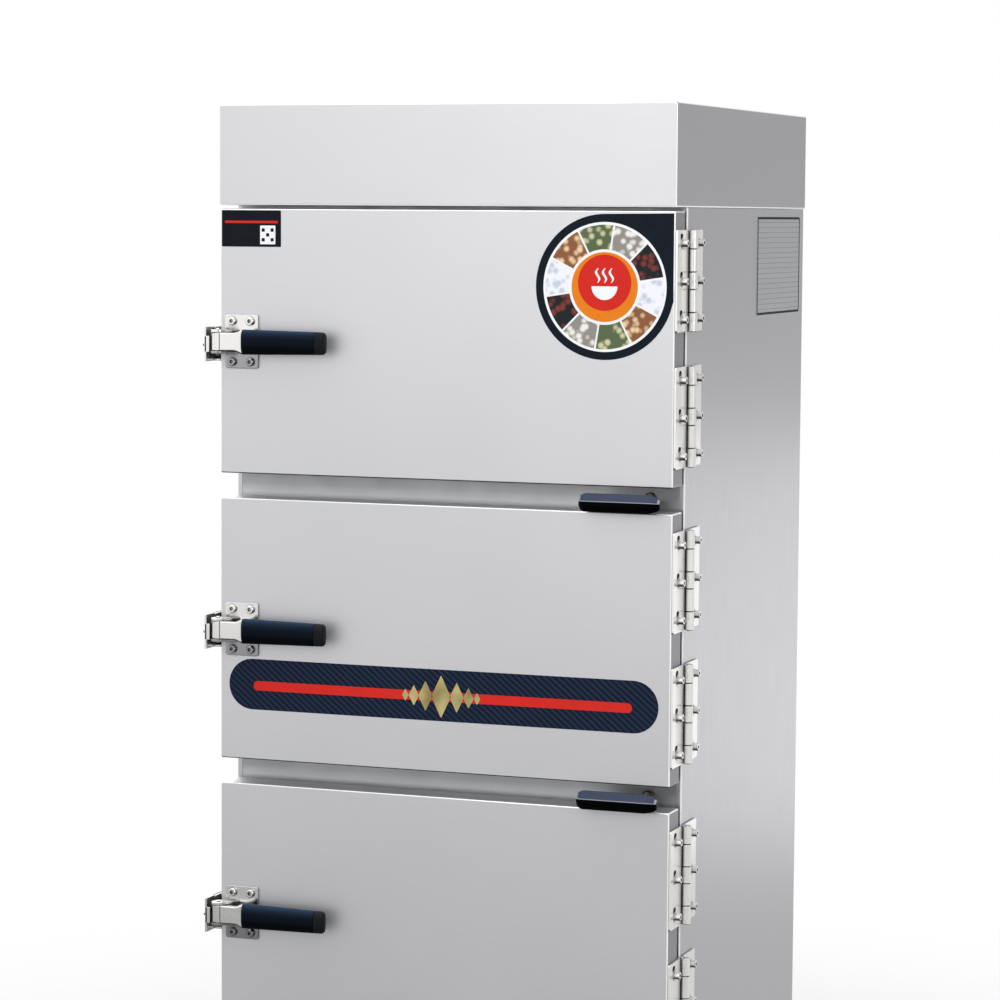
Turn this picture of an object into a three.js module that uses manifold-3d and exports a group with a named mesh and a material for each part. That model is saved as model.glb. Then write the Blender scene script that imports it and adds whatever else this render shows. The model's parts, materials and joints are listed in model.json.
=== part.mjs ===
// Three-door steaming cabinet, built as an assembly of separate pieces.
// Millimetres, +Z up. The doors face -Y, the hinges are on the +X side and the latches on the -X side.
// The origin is on the floor, under the middle of the whole object with its fittings.

import * as THREE from 'three';
import { mergeVertices } from 'three/addons/utils/BufferGeometryUtils.js';
import Module from 'manifold-3d';

const wasm = await Module();
wasm.setup();

// Cabinet: overall sizes
const LEVELS = ['lower', 'middle', 'upper'];
const BODY_WIDTH = 690;
const BODY_DEPTH = 620;
const DOOR_HEIGHT = 384;
const DOOR_THICKNESS = 44;
const DOOR_GAP = 36;
const SEAL_GAP = 14;
const FOOT_HEIGHT = 100;
const BASE_HEIGHT = 110;
const HOOD_HEIGHT = 145;
const HOOD_GAP = 5;
const HOOD_OVERHANG = 2;

// Sheet metal, and the clearances used everywhere
const SHEET = 1.5;
const FRAME_SHEET = 2;
const LINER_SHEET = 1.2;
const SEAT = 0.3;
const OVERRUN = 2;
const ROUND_SIDES = 12;
const SMALL_SIDES = 8;

// Body panels
const SIDE_FOLD = 8;
const BACK_FOLD = 20;
const PAN_SHEET = 3;
const PAN_RIM = 12;
const HOOD_FLANGE = 70;
const LOUVRE_COUNT = 5;
const LOUVRE_WIDTH = 160;
const LOUVRE_HEIGHT = 6;
const LOUVRE_PITCH = 16;

// Chambers
const WALL = 55;
const DOOR_LAP = 22;
const SERVICE_DEPTH = 70;
const INSULATION_BACK = 20;
const GASKET_WIDTH = 16;
const GASKET_INSET = 2;

// Tray racks
const RUNNER_COUNT = 4;
const RACK_BAR = 8;
const RUNNER_WIDTH = 18;
const RUNNER_THICK = 3;
const RACK_FRONT_GAP = 20;
const RACK_BACK_GAP = 30;

// Door liner
const LINER_PAN_DEPTH = 30;
const DISH_RISE = 6;
const DISH_INSET = 24;

// Hinges
const HINGE_INSET = 26;
const HINGE_SPACING = 48;
const BARREL_RADIUS = 6.8;
const BARREL_OUT = 8.5;
const HINGE_PIN_RADIUS = 3;
const LEAF_THICK = 3;
const LEAF_RUN_OFF = 0.8;
const BODY_LEAF_REACH = 63;
const DOOR_HOLE_REACH = 36;
const BODY_HOLE_REACH = 41;
const LEAF_HOLE_INSET = 18;
const LEAF_SLOT_WIDTH = 6.6;
const LEAF_SLOT_LENGTH = 15;
const LEAF_BOLT_DROP = 3.5;
const LEAF_BOLT_RADIUS = 5.4;
const LEAF_BOLT_HEIGHT = 9;
const KNUCKLE_SHARES = [0.19, 0.226, 0.171, 0.226, 0.187];

// Latches: places are from the left edge of the door, its front face and its mid height
const LATCH_PLATE_LEFT = 9;
const LATCH_PLATE_WIDTH = 52;
const LATCH_PLATE_HEIGHT = 78;
const LATCH_PLATE_THICK = 3;
const LATCH_BOLT_SPREAD_X = 28.5;
const LATCH_BOLT_SPREAD_Z = 59;
const LATCH_BOLT_RADIUS = 5.8;
const LATCH_BOLT_HEIGHT = 5;
const LATCH_PIVOT_X = 5;
const LATCH_PIVOT_OUT = 20;
const LATCH_PIN_RADIUS = 3;
const LATCH_PIN_HEAD = 2;
const EAR_THICK = 4;
const EAR_RADIUS = 10.5;
const EAR_ROOT_RIGHT = 36;
const HUB_RADIUS = 8.8;
const HUB_HEIGHT = 26;
const CAM_REACH = 11.6;
const CAM_WIDTH = 8;
const NECK_THICK = 10;
const NECK_FLARE_X = 37;
const NECK_FLARE_HEIGHT = 36;
const GRIP_LEFT = 45;
const GRIP_LENGTH = 132;
const GRIP_CENTRE_OUT = 25;
const GRIP_HEIGHT = 36.5;
const GRIP_THICK = 19;
const GRIP_END_HEIGHT = 32.5;
const GRIP_END_THICK = 16;
const GRIP_CORNER = 7;
const GRIP_CORNER_STEPS = 4;
const TANG_LENGTH = 30;
const TANG_THICK = 8;
const TANG_HEIGHT = 13;

// Keepers: a bent bracket on the side panel that reaches forward beside the door
const KEEPER_HEIGHT = 50;
const KEEPER_SHEET = 3;
const KEEPER_OUT = 18;
const KEEPER_FRONT = 24;
const KEEPER_LIP_HEIGHT = 24;
const KEEPER_LIP_CLEAR = 2;
const KEEPER_FLANGE_IN = 4;
const KEEPER_FLANGE_START = 2;
const KEEPER_FOOT_LENGTH = 44;
const KEEPER_FOOT_GAP = 6;
const KEEPER_BOLT_RADIUS = 5;
const KEEPER_BOLT_HEIGHT = 4;
const KEEPER_BOLT_SPREAD = 28;
const STOP_BOLT_OUT = 26;
const STOP_BOLT_IN = 12;
const STOP_BOLT_RADIUS = 4;
const STOP_BOLT_FRONT = 8;

// Valve levers: the pivot's place is from the right edge of the doors and their front faces
const VALVE_PIVOT_INSET = 33.5;
const VALVE_PIVOT_BACK = 4;
const VALVE_DROP = 4;
const VALVE_PIN_RADIUS = 4;
const VALVE_GRIP_LENGTH = 118;
const VALVE_GRIP_HEIGHT = 24;
const VALVE_GRIP_THICK = 22;
const VALVE_GRIP_TAIL = 22.5;
const VALVE_GRIP_GAP = 8;
const VALVE_GRIP_CORNER = 9;
const VALVE_GRIP_END = 5;
const VALVE_CORNER_STEPS = 3;
const VALVE_BAR_THICK = 4;
const VALVE_BAR_RISE = 6;
const VALVE_BAR_TANG = 12;
const VALVE_BAR_LENGTH = 80;
const VALVE_NUT_RADIUS = 7;
const VALVE_NUT_HEIGHT = 7.5;
const VALVE_ARM_HALF = 7;
const VALVE_ARM_THICK = 3;

// Steam generator and pipes in the base and behind the chambers
const TANK_SIDE_GAP = 65;
const TANK_FRONT_GAP = 40;
const TANK_BACK_GAP = 2;
const TANK_TOP_GAP = 10;
const RISER_RADIUS = 13.5;
const RISER_BORE = 12;
const RISER_TOP = 30;
const RISER_DIP = 12;
const STUB_RADIUS = 11;
const STUB_BORE = 9;
const STUB_REACH = 6;
const HEATER_RADIUS = 5;
const HEATER_HOLE_RADIUS = 6;
const HEATER_RUN_COUNT = 4;
const HEATER_PITCH = 90;
const HEATER_BACK_GAP = 139.4;
const HEATER_RISE = 30;
const HEATER_ARC_STEPS = 4;
const HEATER_SIDES = 8;
const HEATER_FLANGE = 24;
const HEATER_FLANGE_THICK = 4;
const HEATER_TERMINAL = 14;
const FITTING_REACH = 30;
const FITTING_NUT = 12;
const INLET_RADIUS = 10;
const INLET_INSET = 130;
const INLET_DROP = 25;
const DRAIN_RADIUS = 12;
const DRAIN_INSET = 100;
const DRAIN_RISE = 26;
const GLAND_RADIUS = 8;
const GLAND_TANK_GAP = 25;
const GLAND_INSIDE = 10;
const PIPE_INSIDE = 12;
const NUT_SHARE = 1.6;
const NUT_SIDES = 6;

// Feet
const FOOT_INSET = 60;
const SLEEVE_RADIUS = 24;
const STEM_RADIUS = 14;
const FOOT_RADIUS = 22;
const FOOT_TIP_RADIUS = 14;
const FOOT_BODY = 26;
const FOOT_TAPER = 12;
const STEM_TOP_GAP = 6;

// Places that follow from the sizes above
const HALF_WIDTH = BODY_WIDTH / 2;
const BODY_FRONT = DOOR_THICKNESS + SEAL_GAP;
const BODY_BACK = BODY_FRONT + BODY_DEPTH;
const BASE_TOP = FOOT_HEIGHT + BASE_HEIGHT;
const DOOR_PITCH = DOOR_HEIGHT + DOOR_GAP;
const doorBottom = (level) => BASE_TOP + DOOR_GAP + level * DOOR_PITCH;
const doorMiddle = (level) => doorBottom(level) + DOOR_HEIGHT / 2;
const HOOD_BOTTOM = doorBottom(LEVELS.length - 1) + DOOR_HEIGHT + HOOD_GAP;
const FRAME_BACK = BODY_FRONT + FRAME_SHEET;
const PANEL_TOP = HOOD_BOTTOM - SEAT;
const MOUTH_HALF_WIDTH = HALF_WIDTH - WALL;
const MOUTH_HALF_HEIGHT = DOOR_HEIGHT / 2 - DOOR_LAP;
const CHAMBER_FRONT = FRAME_BACK + SEAT;
const CHAMBER_DEPTH = BODY_DEPTH - SERVICE_DEPTH;
const CHAMBER_BACK = CHAMBER_FRONT + CHAMBER_DEPTH;
const RACK_DEPTH = CHAMBER_DEPTH - RACK_FRONT_GAP - RACK_BACK_GAP;
const INSULATION_REAR = CHAMBER_BACK + LINER_SHEET + INSULATION_BACK;
const BACK_PANEL_REAR = BODY_BACK - SHEET - SEAT;
const BACK_PANEL_FACE = BACK_PANEL_REAR - SHEET;
const PAN_TOP = FOOT_HEIGHT + PAN_SHEET;
const TANK_FRONT = FRAME_BACK + TANK_FRONT_GAP;
const TANK_BACK = BACK_PANEL_FACE - SEAT - PAN_SHEET - TANK_BACK_GAP;
const TANK_BOTTOM = PAN_TOP + SEAT;
const TANK_TOP = BASE_TOP - TANK_TOP_GAP;
const TANK_HALF_WIDTH = HALF_WIDTH - TANK_SIDE_GAP;
const INLET_X = INLET_INSET - TANK_HALF_WIDTH;
const DRAIN_X = TANK_HALF_WIDTH - DRAIN_INSET;
const GLAND_X = -TANK_HALF_WIDTH - GLAND_TANK_GAP;
const RISER_Y = (INSULATION_REAR + BACK_PANEL_FACE) / 2;
const HINGE_AXIS_X = HALF_WIDTH + BARREL_OUT;
const HINGE_LENGTH = (DOOR_HEIGHT - 2 * HINGE_INSET - HINGE_SPACING) / 2;
const LEAF_HOLE_SPREAD = HINGE_LENGTH / 2 - LEAF_HOLE_INSET;
const EAR_INNER = HUB_HEIGHT / 2 + SEAT;
const EAR_OUTER = EAR_INNER + EAR_THICK;
const REACH_LEFT = HALF_WIDTH + STOP_BOLT_OUT;
const REACH_RIGHT = HINGE_AXIS_X + BARREL_RADIUS;
const REACH_FRONT = GRIP_CENTRE_OUT + GRIP_THICK / 2;
const REACH_BACK = BODY_BACK + FITTING_REACH;

// Finishes, each with the colour and sheen of the real surface
const FINISHES = {
  satinSteel: { color: 0xc9cacd, roughness: 0.42, metalness: 0.9 },
  linerSteel: { color: 0xb9bbbd, roughness: 0.35, metalness: 0.9 },
  polishedSteel: { color: 0xd6d6d2, roughness: 0.2, metalness: 1.0 },
  chromedWire: { color: 0xcfd1d3, roughness: 0.15, metalness: 1.0 },
  brass: { color: 0xb8974f, roughness: 0.35, metalness: 1.0 },
  rubber: { color: 0x2b2c2e, roughness: 0.8, metalness: 0.0 },
  gripPlastic: { color: 0x0d131c, roughness: 0.45, metalness: 0.0 },
  leverPlastic: { color: 0x0b0c12, roughness: 0.2, metalness: 0.0 },
  footPlastic: { color: 0x1c1d1f, roughness: 0.6, metalness: 0.0 },
  mineralWool: { color: 0xc8b98a, roughness: 0.95, metalness: 0.0 },
};

function finish(name) {
  return new THREE.MeshStandardMaterial(FINISHES[name]);
}

// Solids from three.js geometries
function toSolid(geometry) {
  const bare = new THREE.BufferGeometry();
  bare.setAttribute('position', geometry.getAttribute('position'));
  bare.setIndex(geometry.index);
  const merged = mergeVertices(bare);
  const index = merged.index.array;
  const triangles = [];
  for (let i = 0; i < index.length; i += 3) {
    const [a, b, c] = index.subarray(i, i + 3);
    if (a !== b && b !== c && c !== a) triangles.push(a, b, c);
  }
  const mesh = new wasm.Mesh({
    numProp: 3,
    vertProperties: new Float32Array(merged.getAttribute('position').array),
    triVerts: new Uint32Array(triangles),
  });
  return new wasm.Manifold(mesh);
}

function toGeometry(solid) {
  const mesh = solid.getMesh();
  const geometry = new THREE.BufferGeometry();
  geometry.setAttribute('position', new THREE.BufferAttribute(mesh.vertProperties, 3));
  geometry.setIndex(new THREE.BufferAttribute(mesh.triVerts, 1));
  geometry.computeVertexNormals();
  return geometry;
}

function join(...solids) {
  return solids.reduce((whole, next) => whole.add(next));
}

function cut(solid, ...tools) {
  return tools.reduce((left, tool) => left.subtract(tool), solid);
}

// A block between a low and a high value along each axis
function block([x0, x1], [y0, y1], [z0, z1]) {
  const geometry = new THREE.BoxGeometry(x1 - x0, y1 - y0, z1 - z0);
  geometry.translate((x0 + x1) / 2, (y0 + y1) / 2, (z0 + z1) / 2);
  return toSolid(geometry);
}

function about(centre, half) {
  return [centre - half, centre + half];
}

// The span between two distances on one side of a middle plane, low end first
function onSide(side, near, far) {
  return side < 0 ? [-far, -near] : [near, far];
}

function rodZ(x, y, [z0, z1], radius, sides = ROUND_SIDES, topRadius = radius) {
  const geometry = new THREE.CylinderGeometry(topRadius, radius, z1 - z0, sides);
  geometry.rotateX(Math.PI / 2);
  geometry.translate(x, y, (z0 + z1) / 2);
  return toSolid(geometry);
}

function rodX([x0, x1], y, z, radius, sides = ROUND_SIDES) {
  const geometry = new THREE.CylinderGeometry(radius, radius, x1 - x0, sides);
  geometry.rotateZ(-Math.PI / 2);
  geometry.translate((x0 + x1) / 2, y, z);
  return toSolid(geometry);
}

function rodY(x, [y0, y1], z, radius, sides = ROUND_SIDES) {
  const geometry = new THREE.CylinderGeometry(radius, radius, y1 - y0, sides);
  geometry.translate(x, (y0 + y1) / 2, z);
  return toSolid(geometry);
}

// A flat outline in X and Y, carried up from one height to another
function prism(points, [z0, z1]) {
  const shape = new THREE.Shape(points.map(([x, y]) => new THREE.Vector2(x, y)));
  const geometry = new THREE.ExtrudeGeometry(shape, { depth: z1 - z0, bevelEnabled: false });
  geometry.translate(0, 0, z0);
  return toSolid(geometry);
}

// A rounded bar along X whose section shrinks from its first end to its last
function taperedBar([x0, x1], [y, z], first, last, corner, sides) {
  const geometry = new THREE.ExtrudeGeometry(roundedRect(first.thick, first.height, corner), {
    depth: x1 - x0,
    bevelEnabled: false,
    curveSegments: sides,
  });
  const place = geometry.getAttribute('position');
  for (let i = 0; i < place.count; i += 1) {
    const along = place.getZ(i) / (x1 - x0);
    const thin = THREE.MathUtils.lerp(1, last.thick / first.thick, along);
    const low = THREE.MathUtils.lerp(1, last.height / first.height, along);
    place.setXYZ(i, x0 + place.getZ(i), y + place.getX(i) * thin, z + place.getY(i) * low);
  }
  return toSolid(geometry);
}

function roundedRect(width, height, corner) {
  const shape = new THREE.Shape();
  const x = width / 2;
  const y = height / 2;
  shape.moveTo(-x + corner, -y);
  shape.lineTo(x - corner, -y);
  shape.absarc(x - corner, -y + corner, corner, -Math.PI / 2, 0);
  shape.lineTo(x, y - corner);
  shape.absarc(x - corner, y - corner, corner, 0, Math.PI / 2);
  shape.lineTo(-x + corner, y);
  shape.absarc(-x + corner, y - corner, corner, Math.PI / 2, Math.PI);
  shape.lineTo(-x, -y + corner);
  shape.absarc(-x + corner, -y + corner, corner, Math.PI, Math.PI * 1.5);
  return shape;
}

function addPiece(parent, name, solid, finishName) {
  const mesh = new THREE.Mesh(toGeometry(solid), finish(finishName));
  mesh.name = name;
  parent.add(mesh);
  return mesh;
}

function groupAt(parent, x, y, z) {
  const group = new THREE.Group();
  group.position.set(x, y, z);
  parent.add(group);
  return group;
}

// Outer shell of the body
function sidePanel(side) {
  const outer = side * HALF_WIDTH;
  const inner = side * (HALF_WIDTH - SHEET);
  const frontFold = side * (HALF_WIDTH - SIDE_FOLD);
  const backFold = side * (HALF_WIDTH - BACK_FOLD);
  const outline = [
    [outer, BODY_FRONT],
    [outer, BODY_BACK],
    [backFold, BODY_BACK],
    [backFold, BODY_BACK - SHEET],
    [inner, BODY_BACK - SHEET],
    [inner, BODY_FRONT + SHEET],
    [frontFold, BODY_FRONT + SHEET],
    [frontFold, BODY_FRONT],
  ];
  return prism(outline, [FOOT_HEIGHT, PANEL_TOP]);
}

function backPanel() {
  const half = HALF_WIDTH - SHEET - SEAT;
  const sheet = block([-half, half], [BACK_PANEL_FACE, BACK_PANEL_REAR], [FOOT_HEIGHT, PANEL_TOP]);
  const through = [BACK_PANEL_FACE - OVERRUN, BACK_PANEL_REAR + OVERRUN];
  return cut(
    sheet,
    rodY(INLET_X, through, TANK_TOP - INLET_DROP, INLET_RADIUS + SEAT),
    rodY(DRAIN_X, through, TANK_BOTTOM + DRAIN_RISE, DRAIN_RADIUS + SEAT),
    rodY(GLAND_X, through, TANK_TOP - INLET_DROP, GLAND_RADIUS + SEAT),
  );
}

// Where the valve lever below one door turns, and how high its grip lies
const VALVE_X = HALF_WIDTH - VALVE_PIVOT_INSET;
const valveMiddle = (level) => doorBottom(level) - DOOR_GAP / 2 - VALVE_DROP;
const VALVE_BAR_BOTTOM = VALVE_BAR_RISE - VALVE_BAR_THICK / 2;
const VALVE_BAR_TOP = VALVE_BAR_RISE + VALVE_BAR_THICK / 2;

function valveBracket(level) {
  const z = valveMiddle(level);
  const armTop = z + VALVE_BAR_BOTTOM - SEAT;
  const armBottom = armTop - VALVE_ARM_THICK;
  const nutBottom = z + VALVE_BAR_TOP + SEAT;
  const arm = about(VALVE_X, VALVE_ARM_HALF);
  return join(
    block(arm, [VALVE_PIVOT_BACK, BODY_FRONT + FRAME_SHEET / 2], [armBottom, armTop]),
    rodZ(VALVE_X, VALVE_PIVOT_BACK, [armBottom, armTop], VALVE_ARM_HALF),
    rodZ(VALVE_X, VALVE_PIVOT_BACK, [armBottom, nutBottom + VALVE_NUT_HEIGHT / 2], VALVE_PIN_RADIUS),
    rodZ(
      VALVE_X,
      VALVE_PIVOT_BACK,
      [nutBottom, nutBottom + VALVE_NUT_HEIGHT],
      VALVE_NUT_RADIUS,
      SMALL_SIDES,
      VALVE_PIN_RADIUS,
    ),
  );
}

function frontFrame() {
  const half = HALF_WIDTH - SIDE_FOLD - SEAT;
  let frame = block([-half, half], [BODY_FRONT, FRAME_BACK], [FOOT_HEIGHT, PANEL_TOP]);
  LEVELS.forEach((_, level) => {
    const mouth = block(
      about(0, MOUTH_HALF_WIDTH),
      [BODY_FRONT - OVERRUN, FRAME_BACK + OVERRUN],
      about(doorMiddle(level), MOUTH_HALF_HEIGHT),
    );
    frame = join(cut(frame, mouth), valveBracket(level));
  });
  return frame;
}

const FOOT_PLACES = [-1, 1].flatMap((side) => [
  { side, end: 'front', x: side * (HALF_WIDTH - FOOT_INSET), y: BODY_FRONT + FOOT_INSET },
  { side, end: 'rear', x: side * (HALF_WIDTH - FOOT_INSET), y: BODY_BACK - FOOT_INSET },
]);

function basePan() {
  const half = HALF_WIDTH - SHEET - SEAT;
  const front = FRAME_BACK + SEAT;
  const back = BACK_PANEL_FACE - SEAT;
  const full = block([-half, half], [front, back], [FOOT_HEIGHT, FOOT_HEIGHT + PAN_RIM]);
  const hollow = block(
    about(0, half - PAN_SHEET),
    [front + PAN_SHEET, back - PAN_SHEET],
    [PAN_TOP, FOOT_HEIGHT + PAN_RIM + OVERRUN],
  );
  let pan = cut(full, hollow);
  for (const { x, y } of FOOT_PLACES) {
    const sleeve = rodZ(x, y, [FOOT_BODY + SEAT, FOOT_HEIGHT + PAN_SHEET / 2], SLEEVE_RADIUS);
    const bore = rodZ(x, y, [FOOT_BODY - OVERRUN, FOOT_HEIGHT - STEM_TOP_GAP / 2], STEM_RADIUS + SEAT);
    pan = cut(join(pan, sleeve), bore);
  }
  return pan;
}

function baseCover() {
  const full = block([-HALF_WIDTH, HALF_WIDTH], [0, BODY_FRONT - SEAT], [FOOT_HEIGHT, BASE_TOP]);
  const hollow = block(
    about(0, HALF_WIDTH - SHEET),
    [SHEET, BODY_FRONT + OVERRUN],
    [FOOT_HEIGHT + SHEET, BASE_TOP - SHEET],
  );
  return cut(full, hollow);
}

function topHood() {
  const half = HALF_WIDTH + HOOD_OVERHANG;
  const top = HOOD_BOTTOM + HOOD_HEIGHT;
  const full = block([-half, half], [0, BODY_BACK], [HOOD_BOTTOM, top]);
  const hollow = block(
    about(0, half - SHEET),
    [SHEET, BODY_BACK - SHEET],
    [HOOD_BOTTOM + SHEET, top - SHEET],
  );
  const floorHole = block(
    about(0, half - HOOD_FLANGE),
    [BODY_FRONT + HOOD_FLANGE, BODY_BACK - HOOD_FLANGE],
    [HOOD_BOTTOM - OVERRUN, HOOD_BOTTOM + SHEET + OVERRUN],
  );
  let hood = cut(full, hollow, floorHole);
  const first = HOOD_BOTTOM + HOOD_HEIGHT / 2 - ((LOUVRE_COUNT - 1) * LOUVRE_PITCH) / 2;
  for (let i = 0; i < LOUVRE_COUNT; i += 1) {
    const slot = block(
      about(0, LOUVRE_WIDTH / 2),
      [BODY_BACK - SHEET - OVERRUN, BODY_BACK + OVERRUN],
      about(first + i * LOUVRE_PITCH, LOUVRE_HEIGHT / 2),
    );
    hood = cut(hood, slot);
  }
  return hood;
}

// One chamber: its liner, and the wire rack that carries the trays
function chamberLiner() {
  const halfWidth = MOUTH_HALF_WIDTH + LINER_SHEET;
  const halfHeight = MOUTH_HALF_HEIGHT + LINER_SHEET;
  const rear = CHAMBER_BACK + LINER_SHEET;
  const shell = block([-halfWidth, halfWidth], [CHAMBER_FRONT, rear], about(0, halfHeight));
  const inside = block(
    about(0, MOUTH_HALF_WIDTH),
    [CHAMBER_FRONT - OVERRUN, CHAMBER_BACK],
    about(0, MOUTH_HALF_HEIGHT),
  );
  const steamHole = rodY(0, [CHAMBER_BACK - OVERRUN, rear + OVERRUN], 0, STUB_RADIUS + SEAT);
  return cut(shell, inside, steamHole);
}

function trayRack() {
  const outer = MOUTH_HALF_WIDTH - SEAT;
  const inner = outer - RACK_BAR;
  const front = CHAMBER_FRONT + RACK_FRONT_GAP;
  const back = front + RACK_DEPTH;
  const bottom = SEAT - MOUTH_HALF_HEIGHT;
  const top = MOUTH_HALF_HEIGHT - RACK_BAR;
  const pieces = [
    block([-outer, outer], [back - RACK_BAR, back], [bottom, bottom + RACK_BAR]),
    block([-outer, outer], [back - RACK_BAR, back], [top - RACK_BAR, top]),
  ];
  for (const side of [-1, 1]) {
    const bar = onSide(side, inner, outer);
    const runner = onSide(side, outer - RUNNER_WIDTH, outer);
    pieces.push(block(bar, [front, front + RACK_BAR], [bottom, top]));
    pieces.push(block(bar, [back - RACK_BAR, back], [bottom, top]));
    for (let i = 0; i < RUNNER_COUNT; i += 1) {
      const z = -MOUTH_HALF_HEIGHT + ((i + 1) * 2 * MOUTH_HALF_HEIGHT) / (RUNNER_COUNT + 1);
      pieces.push(block(runner, [front, back], [z, z + RUNNER_THICK]));
    }
  }
  return join(...pieces);
}

function insulation() {
  const half = HALF_WIDTH - SHEET - SEAT;
  let wool = block(
    [-half, half],
    [CHAMBER_FRONT + LINER_SHEET + SEAT, INSULATION_REAR],
    [BASE_TOP, PANEL_TOP - SEAT],
  );
  LEVELS.forEach((_, level) => {
    const pocket = block(
      about(0, MOUTH_HALF_WIDTH + LINER_SHEET + SEAT),
      [CHAMBER_FRONT, CHAMBER_BACK + LINER_SHEET + SEAT],
      about(doorMiddle(level), MOUTH_HALF_HEIGHT + LINER_SHEET + SEAT),
    );
    const stub = rodY(0, [CHAMBER_BACK, INSULATION_REAR + OVERRUN], doorMiddle(level), STUB_RADIUS + SEAT);
    wool = cut(wool, pocket, stub);
  });
  return wool;
}

// Steam generator: tank, heating element, riser and the fittings on the back
function waterTank() {
  const full = block(about(0, TANK_HALF_WIDTH), [TANK_FRONT, TANK_BACK], [TANK_BOTTOM, TANK_TOP]);
  const hollow = block(
    about(0, TANK_HALF_WIDTH - SHEET),
    [TANK_FRONT + SHEET, TANK_BACK - SHEET],
    [TANK_BOTTOM + SHEET, TANK_TOP - SHEET],
  );
  const backWall = [TANK_BACK - SHEET - OVERRUN, TANK_BACK + OVERRUN];
  const frontWall = [TANK_FRONT - OVERRUN, TANK_FRONT + SHEET + OVERRUN];
  const heaterHoles = [-1, 1].map((side) =>
    rodY(side * heaterEndX(), frontWall, TANK_BOTTOM + HEATER_RISE, HEATER_HOLE_RADIUS, SMALL_SIDES),
  );
  return cut(
    full,
    hollow,
    rodZ(0, RISER_Y, [TANK_TOP - SHEET - OVERRUN, TANK_TOP + OVERRUN], RISER_RADIUS + SEAT),
    rodY(INLET_X, backWall, TANK_TOP - INLET_DROP, INLET_RADIUS + SEAT),
    rodY(DRAIN_X, backWall, TANK_BOTTOM + DRAIN_RISE, DRAIN_RADIUS + SEAT),
    ...heaterHoles,
  );
}

function heaterEndX() {
  return ((HEATER_RUN_COUNT - 1) * HEATER_PITCH) / 2;
}

// The element runs to and fro in the tank, with a half turn between one run and the next
function heatingElement() {
  const near = TANK_FRONT - SEAT - HEATER_FLANGE_THICK;
  const bendRadius = HEATER_PITCH / 2;
  const nearBend = TANK_FRONT + SHEET + HEATER_FLANGE + bendRadius;
  const far = TANK_BACK - HEATER_BACK_GAP;
  const z = TANK_BOTTOM + HEATER_RISE;
  const path = new THREE.CurvePath();
  let y = near;
  for (let run = 0; run < HEATER_RUN_COUNT; run += 1) {
    const x = -heaterEndX() + run * HEATER_PITCH;
    const away = run % 2 === 0;
    const last = run === HEATER_RUN_COUNT - 1;
    const stop = away ? far : last ? near : nearBend;
    path.add(new THREE.LineCurve3(new THREE.Vector3(x, y, z), new THREE.Vector3(x, stop, z)));
    if (!last) path.add(halfTurn(x + bendRadius, stop, z, bendRadius, away));
    y = stop;
  }
  const points = heaterPoints(path);
  const curve = new THREE.CatmullRomCurve3(points, false, 'chordal');
  const section = new THREE.Shape();
  section.absarc(0, 0, HEATER_RADIUS, 0, Math.PI * 2);
  const tube = new THREE.ExtrudeGeometry(section, {
    steps: points.length,
    extrudePath: curve,
    curveSegments: HEATER_SIDES,
  });
  const flanges = [-1, 1].map((side) => {
    const x = side * heaterEndX();
    return join(
      rodY(x, [near, TANK_FRONT - SEAT], z, HEATER_FLANGE, SMALL_SIDES),
      rodY(x, [near - HEATER_TERMINAL, near + HEATER_FLANGE_THICK / 2], z, HEATER_RADIUS, SMALL_SIDES),
    );
  });
  return join(toSolid(tube), ...flanges);
}

function halfTurn(x, y, z, radius, away) {
  const points = [];
  for (let i = 0; i <= HEATER_ARC_STEPS; i += 1) {
    const angle = Math.PI - (i * Math.PI) / HEATER_ARC_STEPS;
    const lift = radius * Math.sin(angle) * (away ? 1 : -1);
    points.push(new THREE.Vector3(x + radius * Math.cos(angle), y + lift, z));
  }
  return new THREE.CatmullRomCurve3(points);
}

function heaterPoints(path) {
  const points = [];
  path.curves.forEach((curve) => {
    const parts = curve.isLineCurve3 ? 2 : HEATER_ARC_STEPS;
    const fresh = curve.getPoints(parts);
    points.push(...(points.length ? fresh.slice(1) : fresh));
  });
  return points;
}

function steamRiser() {
  const top = doorMiddle(LEVELS.length - 1) + RISER_TOP;
  const stubFront = CHAMBER_BACK - STUB_REACH;
  const outside = [rodZ(0, RISER_Y, [TANK_TOP - RISER_DIP, top], RISER_RADIUS)];
  const bores = [rodZ(0, RISER_Y, [TANK_TOP - RISER_DIP - OVERRUN, top - OVERRUN], RISER_BORE)];
  LEVELS.forEach((_, level) => {
    outside.push(rodY(0, [stubFront, RISER_Y], doorMiddle(level), STUB_RADIUS));
    bores.push(rodY(0, [stubFront - OVERRUN, RISER_Y], doorMiddle(level), STUB_BORE));
  });
  return cut(join(...outside), ...bores);
}

// A pipe end on the back panel: a hexagon nut on the sheet, and the pipe through it
function backFitting(x, z, radius, inside, reach) {
  const face = BACK_PANEL_REAR + SEAT;
  return join(
    rodY(x, [inside, BODY_BACK + reach], z, radius),
    rodY(x, [face, face + FITTING_NUT], z, radius * NUT_SHARE, NUT_SIDES),
  );
}

// One hinge, about its own axis: a leaf with its bolts, and the knuckles that it owns.
// The body leaf lies on the side panel and holds the pin. The door leaf has slots above its bolts.
const LEAF_FACE = [SEAT - BARREL_OUT, SEAT + LEAF_THICK - BARREL_OUT];
const KNUCKLE_CLEAR = BARREL_RADIUS + LEAF_RUN_OFF;

function boltRow(y, drop) {
  const bolts = [-1, 0, 1].map((i) => {
    const z = HINGE_LENGTH / 2 + i * LEAF_HOLE_SPREAD - drop;
    return rodX([LEAF_FACE[0], LEAF_FACE[1] + LEAF_BOLT_HEIGHT], y, z, LEAF_BOLT_RADIUS, SMALL_SIDES);
  });
  return join(...bolts);
}

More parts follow.
